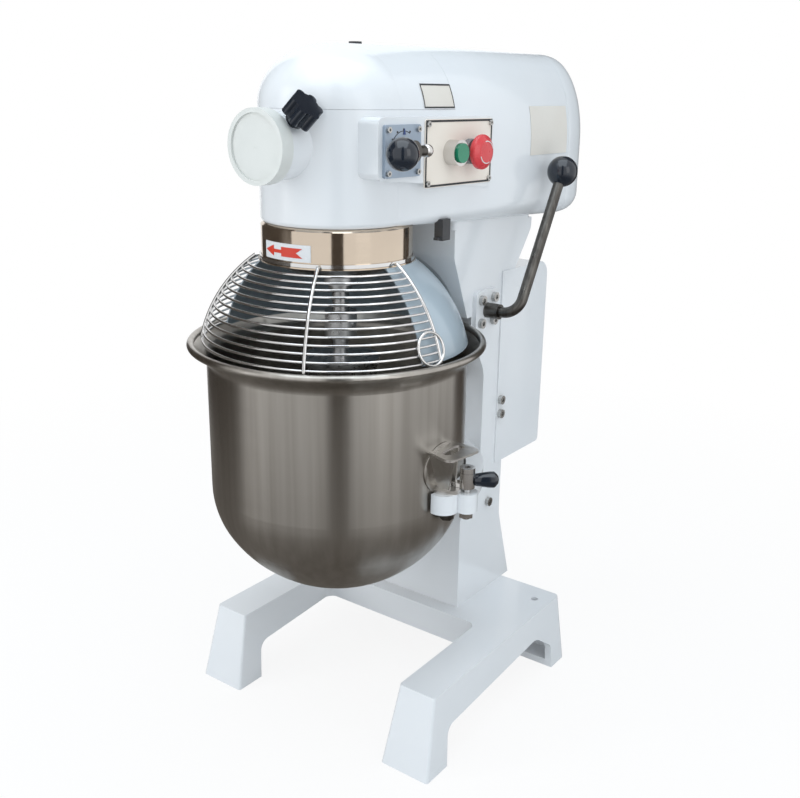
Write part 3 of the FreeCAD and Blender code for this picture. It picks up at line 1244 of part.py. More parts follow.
def make_clamp_cam():
    """Right-hand sleeve with the lip that holds the ear down and the stem of the grip."""
    low = CAM_LOW
    sleeve = rod(CAM_R, (POST_X, POST_Y, low), (POST_X, POST_Y, low + CAM_HEIGHT))
    lip_z = low
    tip = polar(LIP_LENGTH, LIP_DEG, lip_z)
    lip_end = rod(4.5, (POST_X + tip.x, POST_Y + tip.y, lip_z), (POST_X + tip.x, POST_Y + tip.y, lip_z + 6))
    lip = box(0, LIP_LENGTH, -4.5, 4.5, lip_z, lip_z + 6)
    lip.rotate(V(0, 0, 0), V(0, 0, 1), LIP_DEG)
    lip.translate(V(POST_X, POST_Y, 0))
    way = polar(1, GRIP_AT_DEG)
    stem_z = low + CAM_HEIGHT / 2
    stem_end = (POST_X + way.x * (GRIP_STEM + 8), POST_Y + way.y * (GRIP_STEM + 8), stem_z)
    stem = rod(4, (POST_X, POST_Y, stem_z), stem_end)
    cam = fused([sleeve, lip_end, lip, stem])
    return cam.cut(rod(POST_R + RUN, (POST_X, POST_Y, low - 1), (POST_X, POST_Y, low + CAM_HEIGHT + 1)))


def make_clamp_grip():
    """Right-hand black grip pressed on the cam's stem."""
    way = polar(1, GRIP_AT_DEG)
    z = CAM_LOW + CAM_HEIGHT / 2
    start = V(POST_X + way.x * GRIP_STEM, POST_Y + way.y * GRIP_STEM, z)
    length = GRIP_LENGTH - GRIP_R
    barrel = rod(GRIP_R, tuple(start), tuple(start + way * length))
    end = Part.makeSphere(GRIP_R, start + way * length)
    stem = rod(4, (POST_X, POST_Y, z), tuple(start + way * 8))
    return fused([barrel, end]).cut(stem)


def mirrored(shape):
    return shape.mirror(V(0, 0, 0), V(1, 0, 0))


# ================================================================ bowl lift
def make_lift_flange():
    plate = prism([
        (LIFT_Y - FLANGE_HALF, LIFT_Z - FLANGE_HALF, 8),
        (LIFT_Y + FLANGE_HALF, LIFT_Z - FLANGE_HALF, 8),
        (LIFT_Y + FLANGE_HALF, LIFT_Z + FLANGE_HALF, 8),
        (LIFT_Y - FLANGE_HALF, LIFT_Z + FLANGE_HALF, 8),
    ], "yz", COL_HALF, COL_HALF + FLANGE_THICK)
    spigot = rod(FLANGE_SPIGOT_R, (CRANK_X1 + GAP, LIFT_Y, LIFT_Z), (COL_HALF, LIFT_Y, LIFT_Z))
    flange = fused([plate, spigot])
    flange = flange.cut(rod(LIFT_SHAFT_R + RUN, (50, LIFT_Y, LIFT_Z), (COL_HALF + 10, LIFT_Y, LIFT_Z)))
    for y, z in FLANGE_SCREWS:
        flange = flange.cut(rod(SCREW_R, (COL_HALF - 1, y, z), (COL_HALF + FLANGE_THICK + 1, y, z)))
    return flange


def make_flange_screws():
    screws = [socket_screw(SCREW_R, (COL_HALF + FLANGE_THICK, y, z), (1, 0, 0), FLANGE_THICK + 10)
              for y, z in FLANGE_SCREWS]
    return Part.makeCompound(screws)


def make_side_screws():
    screws = []
    for y, z in SIDE_SCREWS:
        face = COL_HALF + (BOX_SHEET if z > BOX_LOW else 0.0)
        screws.append(socket_screw(SCREW_R, (face, y, z), (1, 0, 0), 12))
    return both_sides(Part.makeCompound(screws))


def make_lift_shaft():
    return rod(LIFT_SHAFT_R, (CRANK_X0, LIFT_Y, LIFT_Z), (LEVER_X - LEVER_BEND - 4, LIFT_Y, LIFT_Z))


def make_crank_arm():
    rest = LIFT_SWING / 2
    y = LIFT_Y + CRANK_R * math.cos(math.radians(rest))
    z = LIFT_Z + CRANK_R * math.sin(math.radians(rest))
    hub = rod(LIFT_SHAFT_R + 3, (CRANK_X0, LIFT_Y, LIFT_Z), (CRANK_X1, LIFT_Y, LIFT_Z))
    eye = rod(CRANK_PIN_R + 3, (CRANK_X0, y, z), (CRANK_X1, y, z))
    web = box(CRANK_X0, CRANK_X1, 0, CRANK_R, -8, 8)
    web.rotate(V(0, 0, 0), V(1, 0, 0), rest)
    web.translate(V(0, LIFT_Y, LIFT_Z))
    pin = rod(CRANK_PIN_R, (LUG_X0 - 2, y, z), (CRANK_X1, y, z))
    arm = fused([hub, eye, web, pin])
    return arm.cut(rod(LIFT_SHAFT_R, (CRANK_X0 - 1, LIFT_Y, LIFT_Z), (CRANK_X1 + 1, LIFT_Y, LIFT_Z)))


def lever_path_points():
    way = V(0, LEVER_REACH_Y, LEVER_REACH_Z).normalize()
    start = V(LEVER_X - LEVER_BEND - 4, LIFT_Y, LIFT_Z)
    corner = V(LEVER_X, LIFT_Y, LIFT_Z)
    ball = V(LEVER_X, LIFT_Y + LEVER_REACH_Y, LIFT_Z + LEVER_REACH_Z)
    return start, corner, ball, way


def make_lift_lever_rod():
    start, corner, ball, way = lever_path_points()
    before = corner - V(LEVER_BEND, 0, 0)
    after = corner + way * LEVER_BEND
    middle = corner + (V(-1, 0, 0) + way).normalize() * (LEVER_BEND * (math.sqrt(2) - 1))
    end = ball - way * (LEVER_BALL_R - 12)
    edges = [
        Part.LineSegment(start, before).toShape(),
        Part.Arc(before, middle, after).toShape(),
        Part.LineSegment(after, end).toShape(),
    ]
    section = Part.Wire([Part.Circle(start, V(1, 0, 0), LEVER_ROD_R).toShape()])
    return Part.Wire(edges).makePipeShell([section], True, False)


def make_lift_lever_ball():
    start, corner, ball, way = lever_path_points()
    solid = Part.makeSphere(LEVER_BALL_R, ball)
    return solid.cut(rod(LEVER_ROD_R, tuple(ball - way * (LEVER_BALL_R + 5)), tuple(ball - way * (LEVER_BALL_R - 12))))


# ================================================================ controls
def panel_plate(y0, y1, z0, z1, thick):
    return prism([(y0, z0, 3), (y1, z0, 3), (y1, z1, 3), (y0, z1, 3)], "yz", PANEL_X, PANEL_X + thick)


def plate_corners(y0, y1, z0, z1, inset):
    return [(y, z) for y in (y0 + inset, y1 - inset) for z in (z0 + inset, z1 - inset)]




def make_dial_plate():
    plate = panel_plate(*DIAL_BOX, DIAL_THICK)
    plate = plate.cut(rod(DIAL_SHAFT_R + RUN, (PANEL_X - 1, DIAL_Y, DIAL_Z), (PANEL_X + 9, DIAL_Y, DIAL_Z)))
    for y, z in plate_corners(*DIAL_BOX, 5):
        plate = plate.cut(rod(2, (PANEL_X - 1, y, z), (PANEL_X + 9, y, z)))
    return plate


def make_nameplate():
    plate = panel_plate(*PLATE_BOX, PLATE_THICK)
    for y in (START_Y, STOP_Y):
        plate = plate.cut(rod(SHANK_R, (PANEL_X - 1, y, BUTTON_Z), (PANEL_X + 9, y, BUTTON_Z)))
    for y, z in plate_corners(*PLATE_BOX, 5):
        plate = plate.cut(rod(2, (PANEL_X - 1, y, z), (PANEL_X + 9, y, z)))
    return plate


def make_panel_screws():
    screws = []
    for corners, thick in ((DIAL_BOX, DIAL_THICK), (PLATE_BOX, PLATE_THICK)):
        for y, z in plate_corners(*corners, 5):
            screws.append(socket_screw(2, (PANEL_X + thick, y, z), (1, 0, 0), thick))
    return Part.makeCompound(screws)


def make_start_housing():
    at = (START_Y, BUTTON_Z)
    bezel = tube(BEZEL_R, START_R + GAP, (FRONT_X + 4, ) + at, (FRONT_X + BEZEL_REACH, ) + at)
    back = rod(BEZEL_R, (FRONT_X, ) + at, (FRONT_X + 4, ) + at)
    shank = rod(SHANK_R, (SWITCH_X, ) + at, (FRONT_X, ) + at)
    return fused([bezel, back, shank]).cut(rod(STEM_R + GAP, (SWITCH_X - 1, ) + at, (FRONT_X + 5, ) + at))


def make_start_button():
    at = (START_Y, BUTTON_Z)
    low = FRONT_X + 4 + START_TRAVEL + GAP
    cap = rod(START_R, (low, ) + at, (FRONT_X + BEZEL_REACH + START_TRAVEL, ) + at)
    stem = rod(STEM_R, (SWITCH_X + START_TRAVEL + GAP, ) + at, (low, ) + at)
    return fused([cap, stem])


def make_stop_housing():
    at = (STOP_Y, BUTTON_Z)
    collar = rod(BEZEL_R, (FRONT_X, ) + at, (FRONT_X + STOP_COLLAR, ) + at)
    shank = rod(SHANK_R, (SWITCH_X, ) + at, (FRONT_X, ) + at)
    return fused([collar, shank]).cut(rod(STEM_R + GAP, (SWITCH_X - 1, ) + at, (FRONT_X + 20, ) + at))


def make_stop_mushroom():
    """Mushroom head drawn along +Z about the origin, then turned to point along +X."""
    head = turned([
        (0, 0),
        (STOP_R - 3, 0),
        (STOP_R, 3, 2),
        (STOP_R, STOP_CAP - 5, 3),
        (STOP_R - 7, STOP_CAP - 0.5, 6),
        (0, STOP_CAP),
    ])
    stem_length = STOP_COLLAR + FRONT_X - SWITCH_X
    stem = rod(STEM_R, (0, 0, -stem_length), (0, 0, 0))
    button = fused([head, stem])
    place = V(FRONT_X + STOP_COLLAR + STOP_TRAVEL + GAP, STOP_Y, BUTTON_Z)
    button.Placement = FreeCAD.Placement(place, FreeCAD.Rotation(V(0, 0, 1), V(1, 0, 0)))
    return button


def make_switch_blocks():
    """Contact blocks behind the start button, the stop button and the speed lever."""
    back = SWITCH_X - 24
    blocks = [box(back, SWITCH_X, y - 13, y + 13, BUTTON_Z - 15, BUTTON_Z + 15) for y in (START_Y, STOP_Y)]
    inside = PANEL_X - HEAD_WALL
    dial = box(back, inside, DIAL_Y - 15, DIAL_Y + 15, DIAL_Z - 15, DIAL_Z + 15)
    blocks.append(dial.cut(rod(DIAL_SHAFT_R + RUN, (inside - 20, DIAL_Y, DIAL_Z), (inside + 1, DIAL_Y, DIAL_Z))))
    return Part.makeCompound(blocks)


def speed_points():
    hub_x = PANEL_X + DIAL_THICK + GAP
    root = V(hub_x + SPEED_HUB / 2 + 1.5, DIAL_Y, DIAL_Z)
    ball = V(SPEED_BALL_X, SPEED_BALL_Y, DIAL_Z)
    return hub_x, root, ball, (ball - root).normalize()


def make_speed_lever_arm():
    hub_x, root, ball, way = speed_points()
    hub = rod(SPEED_HUB_R, (hub_x, DIAL_Y, DIAL_Z), (hub_x + SPEED_HUB, DIAL_Y, DIAL_Z))
    shaft = rod(DIAL_SHAFT_R, (PANEL_X - 24, DIAL_Y, DIAL_Z), (hub_x, DIAL_Y, DIAL_Z))
    arm = rod(SPEED_ROD_R, tuple(root), tuple(ball - way * (SPEED_BALL_R - 10)))
    tail = rod(SPEED_ROD_R + 1, tuple(root), (root.x, SPEED_TAIL_Y, DIAL_Z))
    tail_end = Part.makeSphere(SPEED_ROD_R + 1, V(root.x, SPEED_TAIL_Y, DIAL_Z))
    return fused([hub, shaft, arm, tail, tail_end])


def make_speed_ball():
    hub_x, root, ball, way = speed_points()
    arm = rod(SPEED_ROD_R, tuple(root), tuple(ball - way * (SPEED_BALL_R - 10)))
    return Part.makeSphere(SPEED_BALL_R, ball).cut(arm)


# ================================================================ electrical box
def make_electrical_box():
    """Folded sheet cover on the back of the column."""
    half = COL_HALF + BOX_SHEET
    low_y = BACK_Y - BOX_FLANGE
    outer = prism([
        (low_y, BOX_LOW),
        (BOX_REAR, BOX_LOW, 6),
        (BOX_REAR, BOX_HIGH, BOX_ROUND),
        (low_y, BOX_HIGH),
    ], "yz", -half, half)
    inner = prism([
        (low_y - 1, BOX_LOW + BOX_SHEET),
        (BOX_REAR - BOX_SHEET, BOX_LOW + BOX_SHEET, 4),
        (BOX_REAR - BOX_SHEET, BOX_HIGH - BOX_SHEET, BOX_ROUND - BOX_SHEET),
        (low_y - 1, BOX_HIGH - BOX_SHEET),
    ], "yz", -COL_HALF, COL_HALF)
    column = Part.Face(outline(column_side(), "yz", -COL_HALF)).extrude(V(2 * COL_HALF, 0, 0))
    cover = outer.cut(inner).cut(column)
    cover = cover.cut(rod(GLAND_R - 3, (0, GLAND_Y, BOX_LOW - 1), (0, GLAND_Y, BOX_LOW + 5)))
    for y, z in SIDE_SCREWS:
        cover = cover.cut(rod(SCREW_R, (-half - 1, y, z), (half + 1, y, z)))
    return cover


def make_contactor():
    """Contactor and relay on the back of the column, inside the cover."""
    main = box(-32, 28, BACK_Y, BACK_Y + 58, 420, 500)
    step = box(-24, 20, BACK_Y + 58, BACK_Y + 70, 436, 484)
    relay = box(-32, 28, BACK_Y, BACK_Y + 44, 360, 416)
    return Part.makeCompound([fused([main, step]), relay])


def make_cable_gland():
    nut = prism([(GLAND_R * math.cos(math.radians(60 * i)), GLAND_Y + GLAND_R * math.sin(math.radians(60 * i)))
                 for i in range(6)], "xy", BOX_LOW - 8, BOX_LOW)
    barrel = rod(GLAND_R - 2, (0, GLAND_Y, BOX_LOW - 20), (0, GLAND_Y, BOX_LOW - 8))
    thread = rod(GLAND_R - 3, (0, GLAND_Y, BOX_LOW), (0, GLAND_Y, BOX_LOW + 8))
    bore = rod(4.5, (0, GLAND_Y, BOX_LOW - 21), (0, GLAND_Y, BOX_LOW + 9))
    return fused([nut, barrel, thread]).cut(bore)


# ================================================================ all nodes
def build():
    outer = head_solid(0)
    inner = head_solid(HEAD_WALL)
    thinner = head_solid(LID_WALL)
    cam = make_clamp_cam()
    grip = make_clamp_grip()
    return {
        "base_frame": make_base_frame(),
        "column_casting": make_column_casting(),
        "column_bolts": make_column_bolts(),
        "slideway": make_slideway(),
        "head_casting": make_head_casting(outer, inner),
        "top_cover": make_top_cover(outer, thinner),
        "top_plug": make_top_plug(),
        "rear_cover": make_rear_cover(outer, inner),
        "hub_cap": make_hub_cap(),
        "star_knob": make_star_knob(),
        "motor_stator": make_motor_stator(inner),
        "motor_rotor": make_motor_rotor(),
        "layshaft": make_layshaft(),
        "gear_cluster": make_gear_cluster(),
        "output_shaft": make_output_shaft(),
        "shaft_bearings": make_shaft_bearings(),
        "bevel_pinion": make_bevel_pinion(),
        "bevel_gear": make_bevel_gear(),
        "main_shaft": make_main_shaft(),
        "ring_gear": make_ring_gear(),
        "planet_gear": make_planet_gear(),
        "planet_carrier": make_planet_carrier(),
        "agitator_shaft": make_agitator_shaft(),
        "whisk_hub": make_whisk_hub(),
        "whisk_wires": make_whisk_wires(),
        "splash_ring": make_splash_ring(),
        "guard_shell": make_guard_shell(),
        "wire_guard": make_wire_guard(),
        "guard_switch": make_guard_switch(outer),
        "bowl": make_bowl(),
        "bowl_ears": both_sides(make_ear()),
        "bowl_yoke": make_bowl_yoke(),
        "lift_bar": make_lift_bar(),
        "locating_pins": make_locating_pins(),
        "clamp_posts": make_clamp_posts(),
        "clamp_cam_right": cam,
        "clamp_cam_left": mirrored(cam),
        "clamp_grip_right": grip,
        "clamp_grip_left": mirrored(grip),
        "lift_flange": make_lift_flange(),
        "flange_screws": make_flange_screws(),
        "side_screws": make_side_screws(),
        "lift_shaft": make_lift_shaft(),
        "crank_arm": make_crank_arm(),
        "lift_lever_rod": make_lift_lever_rod(),
        "lift_lever_ball": make_lift_lever_ball(),
        "dial_plate": on_panel(make_dial_plate()),
        "nameplate": on_panel(make_nameplate()),
        "panel_screws": on_panel(make_panel_screws()),
        "start_housing": on_panel(make_start_housing()),
        "start_button": on_panel(make_start_button()),
        "stop_housing": on_panel(make_stop_housing()),
        "stop_mushroom": on_panel(make_stop_mushroom()),
        "switch_blocks": on_panel(make_switch_blocks()),
        "speed_lever_arm": on_panel(make_speed_lever_arm()),
        "speed_ball": on_panel(make_speed_ball()),
        "electrical_box": make_electrical_box(),
        "contactor": make_contactor(),
        "cable_gland": make_cable_gland(),
    }


os.makedirs("parts", exist_ok=True)
for name, shape in build().items():
    placed = shape.copy()
    placed.translate(V(0, BOWL_Y, 0))
    placed.exportStep("parts/" + name + ".step")
    print(name, len(placed.Solids), placed.isValid(), round(placed.Volume))
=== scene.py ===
# %% [markdown]
# # A commercial stand mixer
# The castings, bowl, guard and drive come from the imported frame, where every node has its own joint
# and place.  This lesson gives each of them a finish that a maker would recognise, and adds the thin
# trim that is not worth a solid: labels, dial marks, pads and small screws.  The frame is loaded first,
# because every new piece takes its place from it.

# %% Load the frame
import bpy
import json
import math
from mathutils import Matrix, Vector


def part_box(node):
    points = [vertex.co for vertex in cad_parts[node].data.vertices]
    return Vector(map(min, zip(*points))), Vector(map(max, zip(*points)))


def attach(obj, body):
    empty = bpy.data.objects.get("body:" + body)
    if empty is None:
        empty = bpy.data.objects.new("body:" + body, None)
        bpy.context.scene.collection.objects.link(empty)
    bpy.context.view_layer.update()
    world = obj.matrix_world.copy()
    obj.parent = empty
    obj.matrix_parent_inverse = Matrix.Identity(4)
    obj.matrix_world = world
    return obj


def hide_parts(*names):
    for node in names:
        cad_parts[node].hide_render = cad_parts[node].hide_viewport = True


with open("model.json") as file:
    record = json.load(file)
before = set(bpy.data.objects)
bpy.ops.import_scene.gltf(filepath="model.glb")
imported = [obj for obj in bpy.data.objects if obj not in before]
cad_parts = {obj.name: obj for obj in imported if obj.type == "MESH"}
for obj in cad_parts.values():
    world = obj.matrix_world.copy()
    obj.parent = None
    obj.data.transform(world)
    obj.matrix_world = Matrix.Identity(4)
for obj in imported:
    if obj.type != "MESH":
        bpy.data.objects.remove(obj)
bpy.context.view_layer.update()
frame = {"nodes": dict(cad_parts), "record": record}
nodes = frame["nodes"]
scene = bpy.context.scene

# %% [markdown]
# ## Camera
# A product picture of a machine this tall is taken from the front right, a little above the bowl,
# with a moderate lens.  The camera's three axes are worked out from its heading, its downward pitch
# and a slight roll, and put into a matrix, which is exact and needs no constraint.

# %% Make the camera
HEADING = math.radians(36.12)
PITCH = math.radians(17.66)
ROLL = math.radians(0.83)
BOWL_Y = -0.12854
EYE = Vector((0.7459, -0.8909 + BOWL_Y, 0.8082))
SENSOR = 36.0
LENS = 43.74


def camera_matrix():
    """World matrix whose columns are the camera's right, up and backward directions."""
    level_reach = math.cos(PITCH)
    forward = Vector((-math.sin(HEADING) * level_reach, math.cos(HEADING) * level_reach, -math.sin(PITCH)))
    level = forward.cross(Vector((0, 0, 1))).normalized()
    upright = level.cross(forward)
    right = level * math.cos(ROLL) + upright * math.sin(ROLL)
    up = upright * math.cos(ROLL) - level * math.sin(ROLL)
    return Matrix.Translation(EYE) @ Matrix((right, up, -forward)).transposed().to_4x4()


bpy.ops.object.camera_add()
camera = bpy.context.object
camera.name = "studio_camera"
camera.matrix_world = camera_matrix()
camera.data.sensor_width = SENSOR
camera.data.lens = LENS
scene.camera = camera
scene.view_settings.view_transform = "Standard"
print("camera at", tuple(round(v, 3) for v in camera.location))

# %% [markdown]
# ## Studio
# White enamel needs broad soft light, or it shows hard spots.  One large lamp hangs overhead, a
# weaker one stands at each side, and the world fills the rest.  The floor and the world turn plain
# white for the camera, so the machine stands on a clean page.  In reflections the floor near the
# machine is replaced by a dim glowing colour that fades to white far away.  This is a painted
# reflection, and it gives the bowl its darker lower half.


# %% Light the studio
def soft_lamp(name, place, target, width, height, power, colour=(1, 1, 1)):
    """Rectangular lamp at place that faces target."""
    bpy.ops.object.light_add(type="AREA", location=place)
    lamp = bpy.context.object
    lamp.name = name
    lamp.data.shape = "RECTANGLE"
    lamp.data.size = width
    lamp.data.size_y = height
    lamp.data.energy = power
    lamp.data.color = colour
    lamp.rotation_euler = (Vector(target) - Vector(place)).to_track_quat("-Z", "Y").to_euler()
    return lamp


MIDDLE = (0, 0, 0.45)
soft_lamp("overhead_lamp", (0.3, -0.5, 2.6), MIDDLE, 2.2, 2.2, 26, (0.80, 0.91, 1.0))
soft_lamp("right_lamp", (2.3, -0.6, 1.3), MIDDLE, 1.0, 1.8, 6)
soft_lamp("left_lamp", (-1.5, -2.0, 1.2), MIDDLE, 0.6, 1.8, 17)


def seen_by(tree, rays, share):
    """Value that is share where any of the named rays looks, and 0 for all other rays."""
    path = tree.nodes.new("ShaderNodeLightPath")
    value = path.outputs[rays[0]]
    for ray in rays[1:]:
        either = tree.nodes.new("ShaderNodeMath")
        either.operation = "MAXIMUM"
        tree.links.new(value, either.inputs[0])
        tree.links.new(path.outputs[ray], either.inputs[1])
        value = either.outputs[0]
    part = tree.nodes.new("ShaderNodeMath")
    part.operation = "MULTIPLY"
    tree.links.new(value, part.inputs[0])
    part.inputs[1].default_value = share
    return part.outputs[0]


def shader_mix(tree, share, first, second):
    mix = tree.nodes.new("ShaderNodeMixShader")
    tree.links.new(share, mix.inputs[0])
    tree.links.new(first.outputs[0], mix.inputs[1])
    tree.links.new(second.outputs[0], mix.inputs[2])
    return mix


world = bpy.data.worlds.new("studio_world")
scene.world = world
world.use_nodes = True
fill = world.node_tree.nodes["Background"]
fill.inputs["Color"].default_value = (0.88, 0.95, 1.0, 1)
fill.inputs["Strength"].default_value = 0.72
page = world.node_tree.nodes.new("ShaderNodeBackground")
page.inputs["Color"].default_value = (1, 1, 1, 1)
page.inputs["Strength"].default_value = 1.0
shown = seen_by(world.node_tree, ("Is Camera Ray", "Is Glossy Ray", "Is Transmission Ray"), 1.0)
seen = shader_mix(world.node_tree, shown, fill, page)
world.node_tree.links.new(seen.outputs[0], world.node_tree.nodes["World Output"].inputs["Surface"])

bpy.ops.mesh.primitive_plane_add(size=60, location=(0, 0, 0))
floor = bpy.context.object
floor.name = "studio_floor"
floor_finish = bpy.data.materials.new("floor_white")
floor_finish.use_nodes = True
tree = floor_finish.node_tree
matt = tree.nodes["Principled BSDF"]
matt.inputs["Base Color"].default_value = (0.9, 0.9, 0.9, 1)
matt.inputs["Roughness"].default_value = 0.9
glow = tree.nodes.new("ShaderNodeEmission")
glow.inputs["Strength"].default_value = 1.0
# Painted reflection: a dim glowing floor colour that only glossy rays see, which darkens the bowl's lower
# half.
painted_floor_reflection = tree.nodes.new("ShaderNodeEmission")
painted_floor_reflection.inputs["Color"].default_value = (0.17, 0.155, 0.14, 1)
near_mix = shader_mix(tree, seen_by(tree, ("Is Camera Ray", "Is Transmission Ray"), 0.88), matt, glow)
far_mix = shader_mix(tree, seen_by(tree, ("Is Camera Ray", "Is Transmission Ray"), 1.0), matt, glow)
place = tree.nodes.new("ShaderNodeTexCoord")
reach = tree.nodes.new("ShaderNodeVectorMath")
reach.operation = "LENGTH"
tree.links.new(place.outputs["Object"], reach.inputs[0])


def fade_between(near, far):
    """Value that rises from 0 to 1 between two distances from the machine."""
    fade = tree.nodes.new("ShaderNodeMapRange")
    fade.inputs["From Min"].default_value = near
    fade.inputs["From Max"].default_value = far
    tree.links.new(reach.outputs["Value"], fade.inputs["Value"])
    return fade.outputs["Result"]


for_camera = shader_mix(tree, fade_between(0.5, 1.6), near_mix, far_mix)
# Painted reflection: glossy rays see the dim glowing colour near the machine and white further out.
painted_reflection_floor_mix = shader_mix(tree, fade_between(0.9, 2.4), painted_floor_reflection, glow)
floor_mix = shader_mix(tree, seen_by(tree, ("Is Glossy Ray",), 1.0), for_camera, painted_reflection_floor_mix)
tree.links.new(floor_mix.outputs[0], tree.nodes["Material Output"].inputs["Surface"])
floor.data.materials.append(floor_finish)

# %% [markdown]
# Polished metal in an all-white room looks like plaster.  Photographers stand dark cards beside the
# camera, so that chrome has something to draw its edges with.  These cards are seen by reflections
# alone: they cast no shadow, take no light from the enamel and stay out of the camera's view.  The
# dark bands they put in the metal are painted reflections.

# %% Stand the dark cards
card_finish = bpy.data.materials.new("painted_reflection_card")
card_finish.use_nodes = True
card = card_finish.node_tree.nodes["Principled BSDF"]
# Painted reflection: a near-black card colour that only glossy rays see.
card.inputs["Base Color"].default_value = (0.085, 0.066, 0.052, 1)
card.inputs["Roughness"].default_value = 1.0


def painted_reflection_card(name, heading, distance, width, height, centre_z):
    """Upright card at a heading in degrees round the bowl, counted from +X towards +Y."""
    angle = math.radians(heading)
    place = (distance * math.cos(angle), BOWL_Y + distance * math.sin(angle), centre_z)
    bpy.ops.mesh.primitive_plane_add(size=1, location=place, rotation=(math.pi / 2, 0, angle + math.pi / 2))
    panel = bpy.context.object
    panel.name = name
    panel.scale = (width, height, 1)
    panel.data.materials.append(card_finish)
    panel.visible_camera = False
    panel.visible_diffuse = False
    panel.visible_shadow = False
    panel.visible_transmission = False


painted_reflection_card("card_front", -50, 1.2, 0.36, 2.4, 1.0)
painted_reflection_card("card_left", -160, 1.1, 1.9, 2.4, 1.0)
painted_reflection_card("card_right", 86, 1.2, 0.95, 2.4, 1.0)

# %% [markdown]
# ## Shared surface effects
# Three effects come back in many finishes, so each is a node group that is built once.  "Clouding"
# gives the slow change of tone that handling and dust leave.  "Fine ripple" is the height of sprayed
# enamel or moulded plastic.  "Brushing" draws long scratches by stretching noise along one direction.


# %% Build the effect groups
def new_group(name, inputs, outputs):
    """Empty shader group with float inputs (name, value) and outputs by name."""
    group = bpy.data.node_groups.new(name, "ShaderNodeTree")
    for label, value in inputs:
        socket = group.interface.new_socket(label, in_out="INPUT", socket_type="NodeSocketFloat")
        socket.default_value = value
    for label in outputs:
        group.interface.new_socket(label, in_out="OUTPUT", socket_type="NodeSocketFloat")
    return group, group.nodes.new("NodeGroupInput"), group.nodes.new("NodeGroupOutput")


def noise_group(name, stretch, detail):
    """Noise in Object coordinates, stretched by one factor per axis, as a value about 0.5."""
    group, source, result = new_group(name, [("Scale", 10.0), ("Low", 0.0), ("High", 1.0)], ["Value"])
    coords = group.nodes.new("ShaderNodeTexCoord")
    mapping = group.nodes.new("ShaderNodeMapping")
    mapping.inputs["Scale"].default_value = stretch
    noise = group.nodes.new("ShaderNodeTexNoise")
    noise.inputs["Detail"].default_value = detail
    spread = group.nodes.new("ShaderNodeMapRange")
    spread.inputs["From Min"].default_value = 0.3
    spread.inputs["From Max"].default_value = 0.7
    link = group.links.new
    link(coords.outputs["Object"], mapping.inputs["Vector"])
    link(mapping.outputs["Vector"], noise.inputs["Vector"])
    link(source.outputs["Scale"], noise.inputs["Scale"])
    link(noise.outputs["Fac"], spread.inputs["Value"])
    link(source.outputs["Low"], spread.inputs["To Min"])
    link(source.outputs["High"], spread.inputs["To Max"])
    link(spread.outputs["Result"], result.inputs["Value"])
    return group


clouding = noise_group("Clouding", (1, 1, 1), 4.0)
fine_ripple = noise_group("Fine ripple", (1, 1, 1), 1.0)
ring_brushing = noise_group("Ring brushing", (0.03, 0.03, 1), 2.0)
upright_brushing = noise_group("Upright brushing", (1, 1, 0.03), 2.0)
print("groups", [g.name for g in bpy.data.node_groups])

# %% [markdown]
# ## Finishes
# Every finish is a Principled shader whose colour and roughness follow one of the groups, with a
# small bump from another.  One function builds them, so that a finish is a short line of numbers that
# can be read and compared: two colours to drift between, two roughness values, and the bump.


# %% Define the finishes
def use_group(tree, group, scale, low, high):
    node = tree.nodes.new("ShaderNodeGroup")
    node.node_tree = group
    node.inputs["Scale"].default_value = scale
    node.inputs["Low"].default_value = low
    node.inputs["High"].default_value = high
    return node


def finish(name, dark, light, rough, metal=0.0, tone=clouding, tone_scale=9.0, grain=fine_ripple,
           grain_scale=400.0, bump=0.02, depth=0.0002, coat=0.0, aniso=0.0, turn=0.0):
    """Material whose colour drifts from dark to light and whose roughness and bump follow a grain."""
    material = bpy.data.materials.new(name)
    material.use_nodes = True
    tree = material.node_tree
    link = tree.links.new
    shader = tree.nodes["Principled BSDF"]
    shader.inputs["Metallic"].default_value = metal
    shader.inputs["Coat Weight"].default_value = coat
    shader.inputs["Coat Roughness"].default_value = 0.06
    shader.inputs["Anisotropic"].default_value = aniso
    shader.inputs["Anisotropic Rotation"].default_value = turn
    drift = use_group(tree, tone, tone_scale, 0.0, 1.0)
    mix = tree.nodes.new("ShaderNodeMix")
    mix.data_type = "RGBA"
    mix.inputs["A"].default_value = (*dark, 1)
    mix.inputs["B"].default_value = (*light, 1)
    link(drift.outputs["Value"], mix.inputs["Factor"])
    link(mix.outputs["Result"], shader.inputs["Base Color"])
    gloss = use_group(tree, grain, grain_scale * 0.3, rough[0], rough[1])
    link(gloss.outputs["Value"], shader.inputs["Roughness"])
    height = use_group(tree, grain, grain_scale, 0.0, 1.0)
    relief = tree.nodes.new("ShaderNodeBump")
    relief.inputs["Strength"].default_value = bump
    relief.inputs["Distance"].default_value = depth
    link(height.outputs["Value"], relief.inputs["Height"])
    link(relief.outputs["Normal"], shader.inputs["Normal"])
    return material


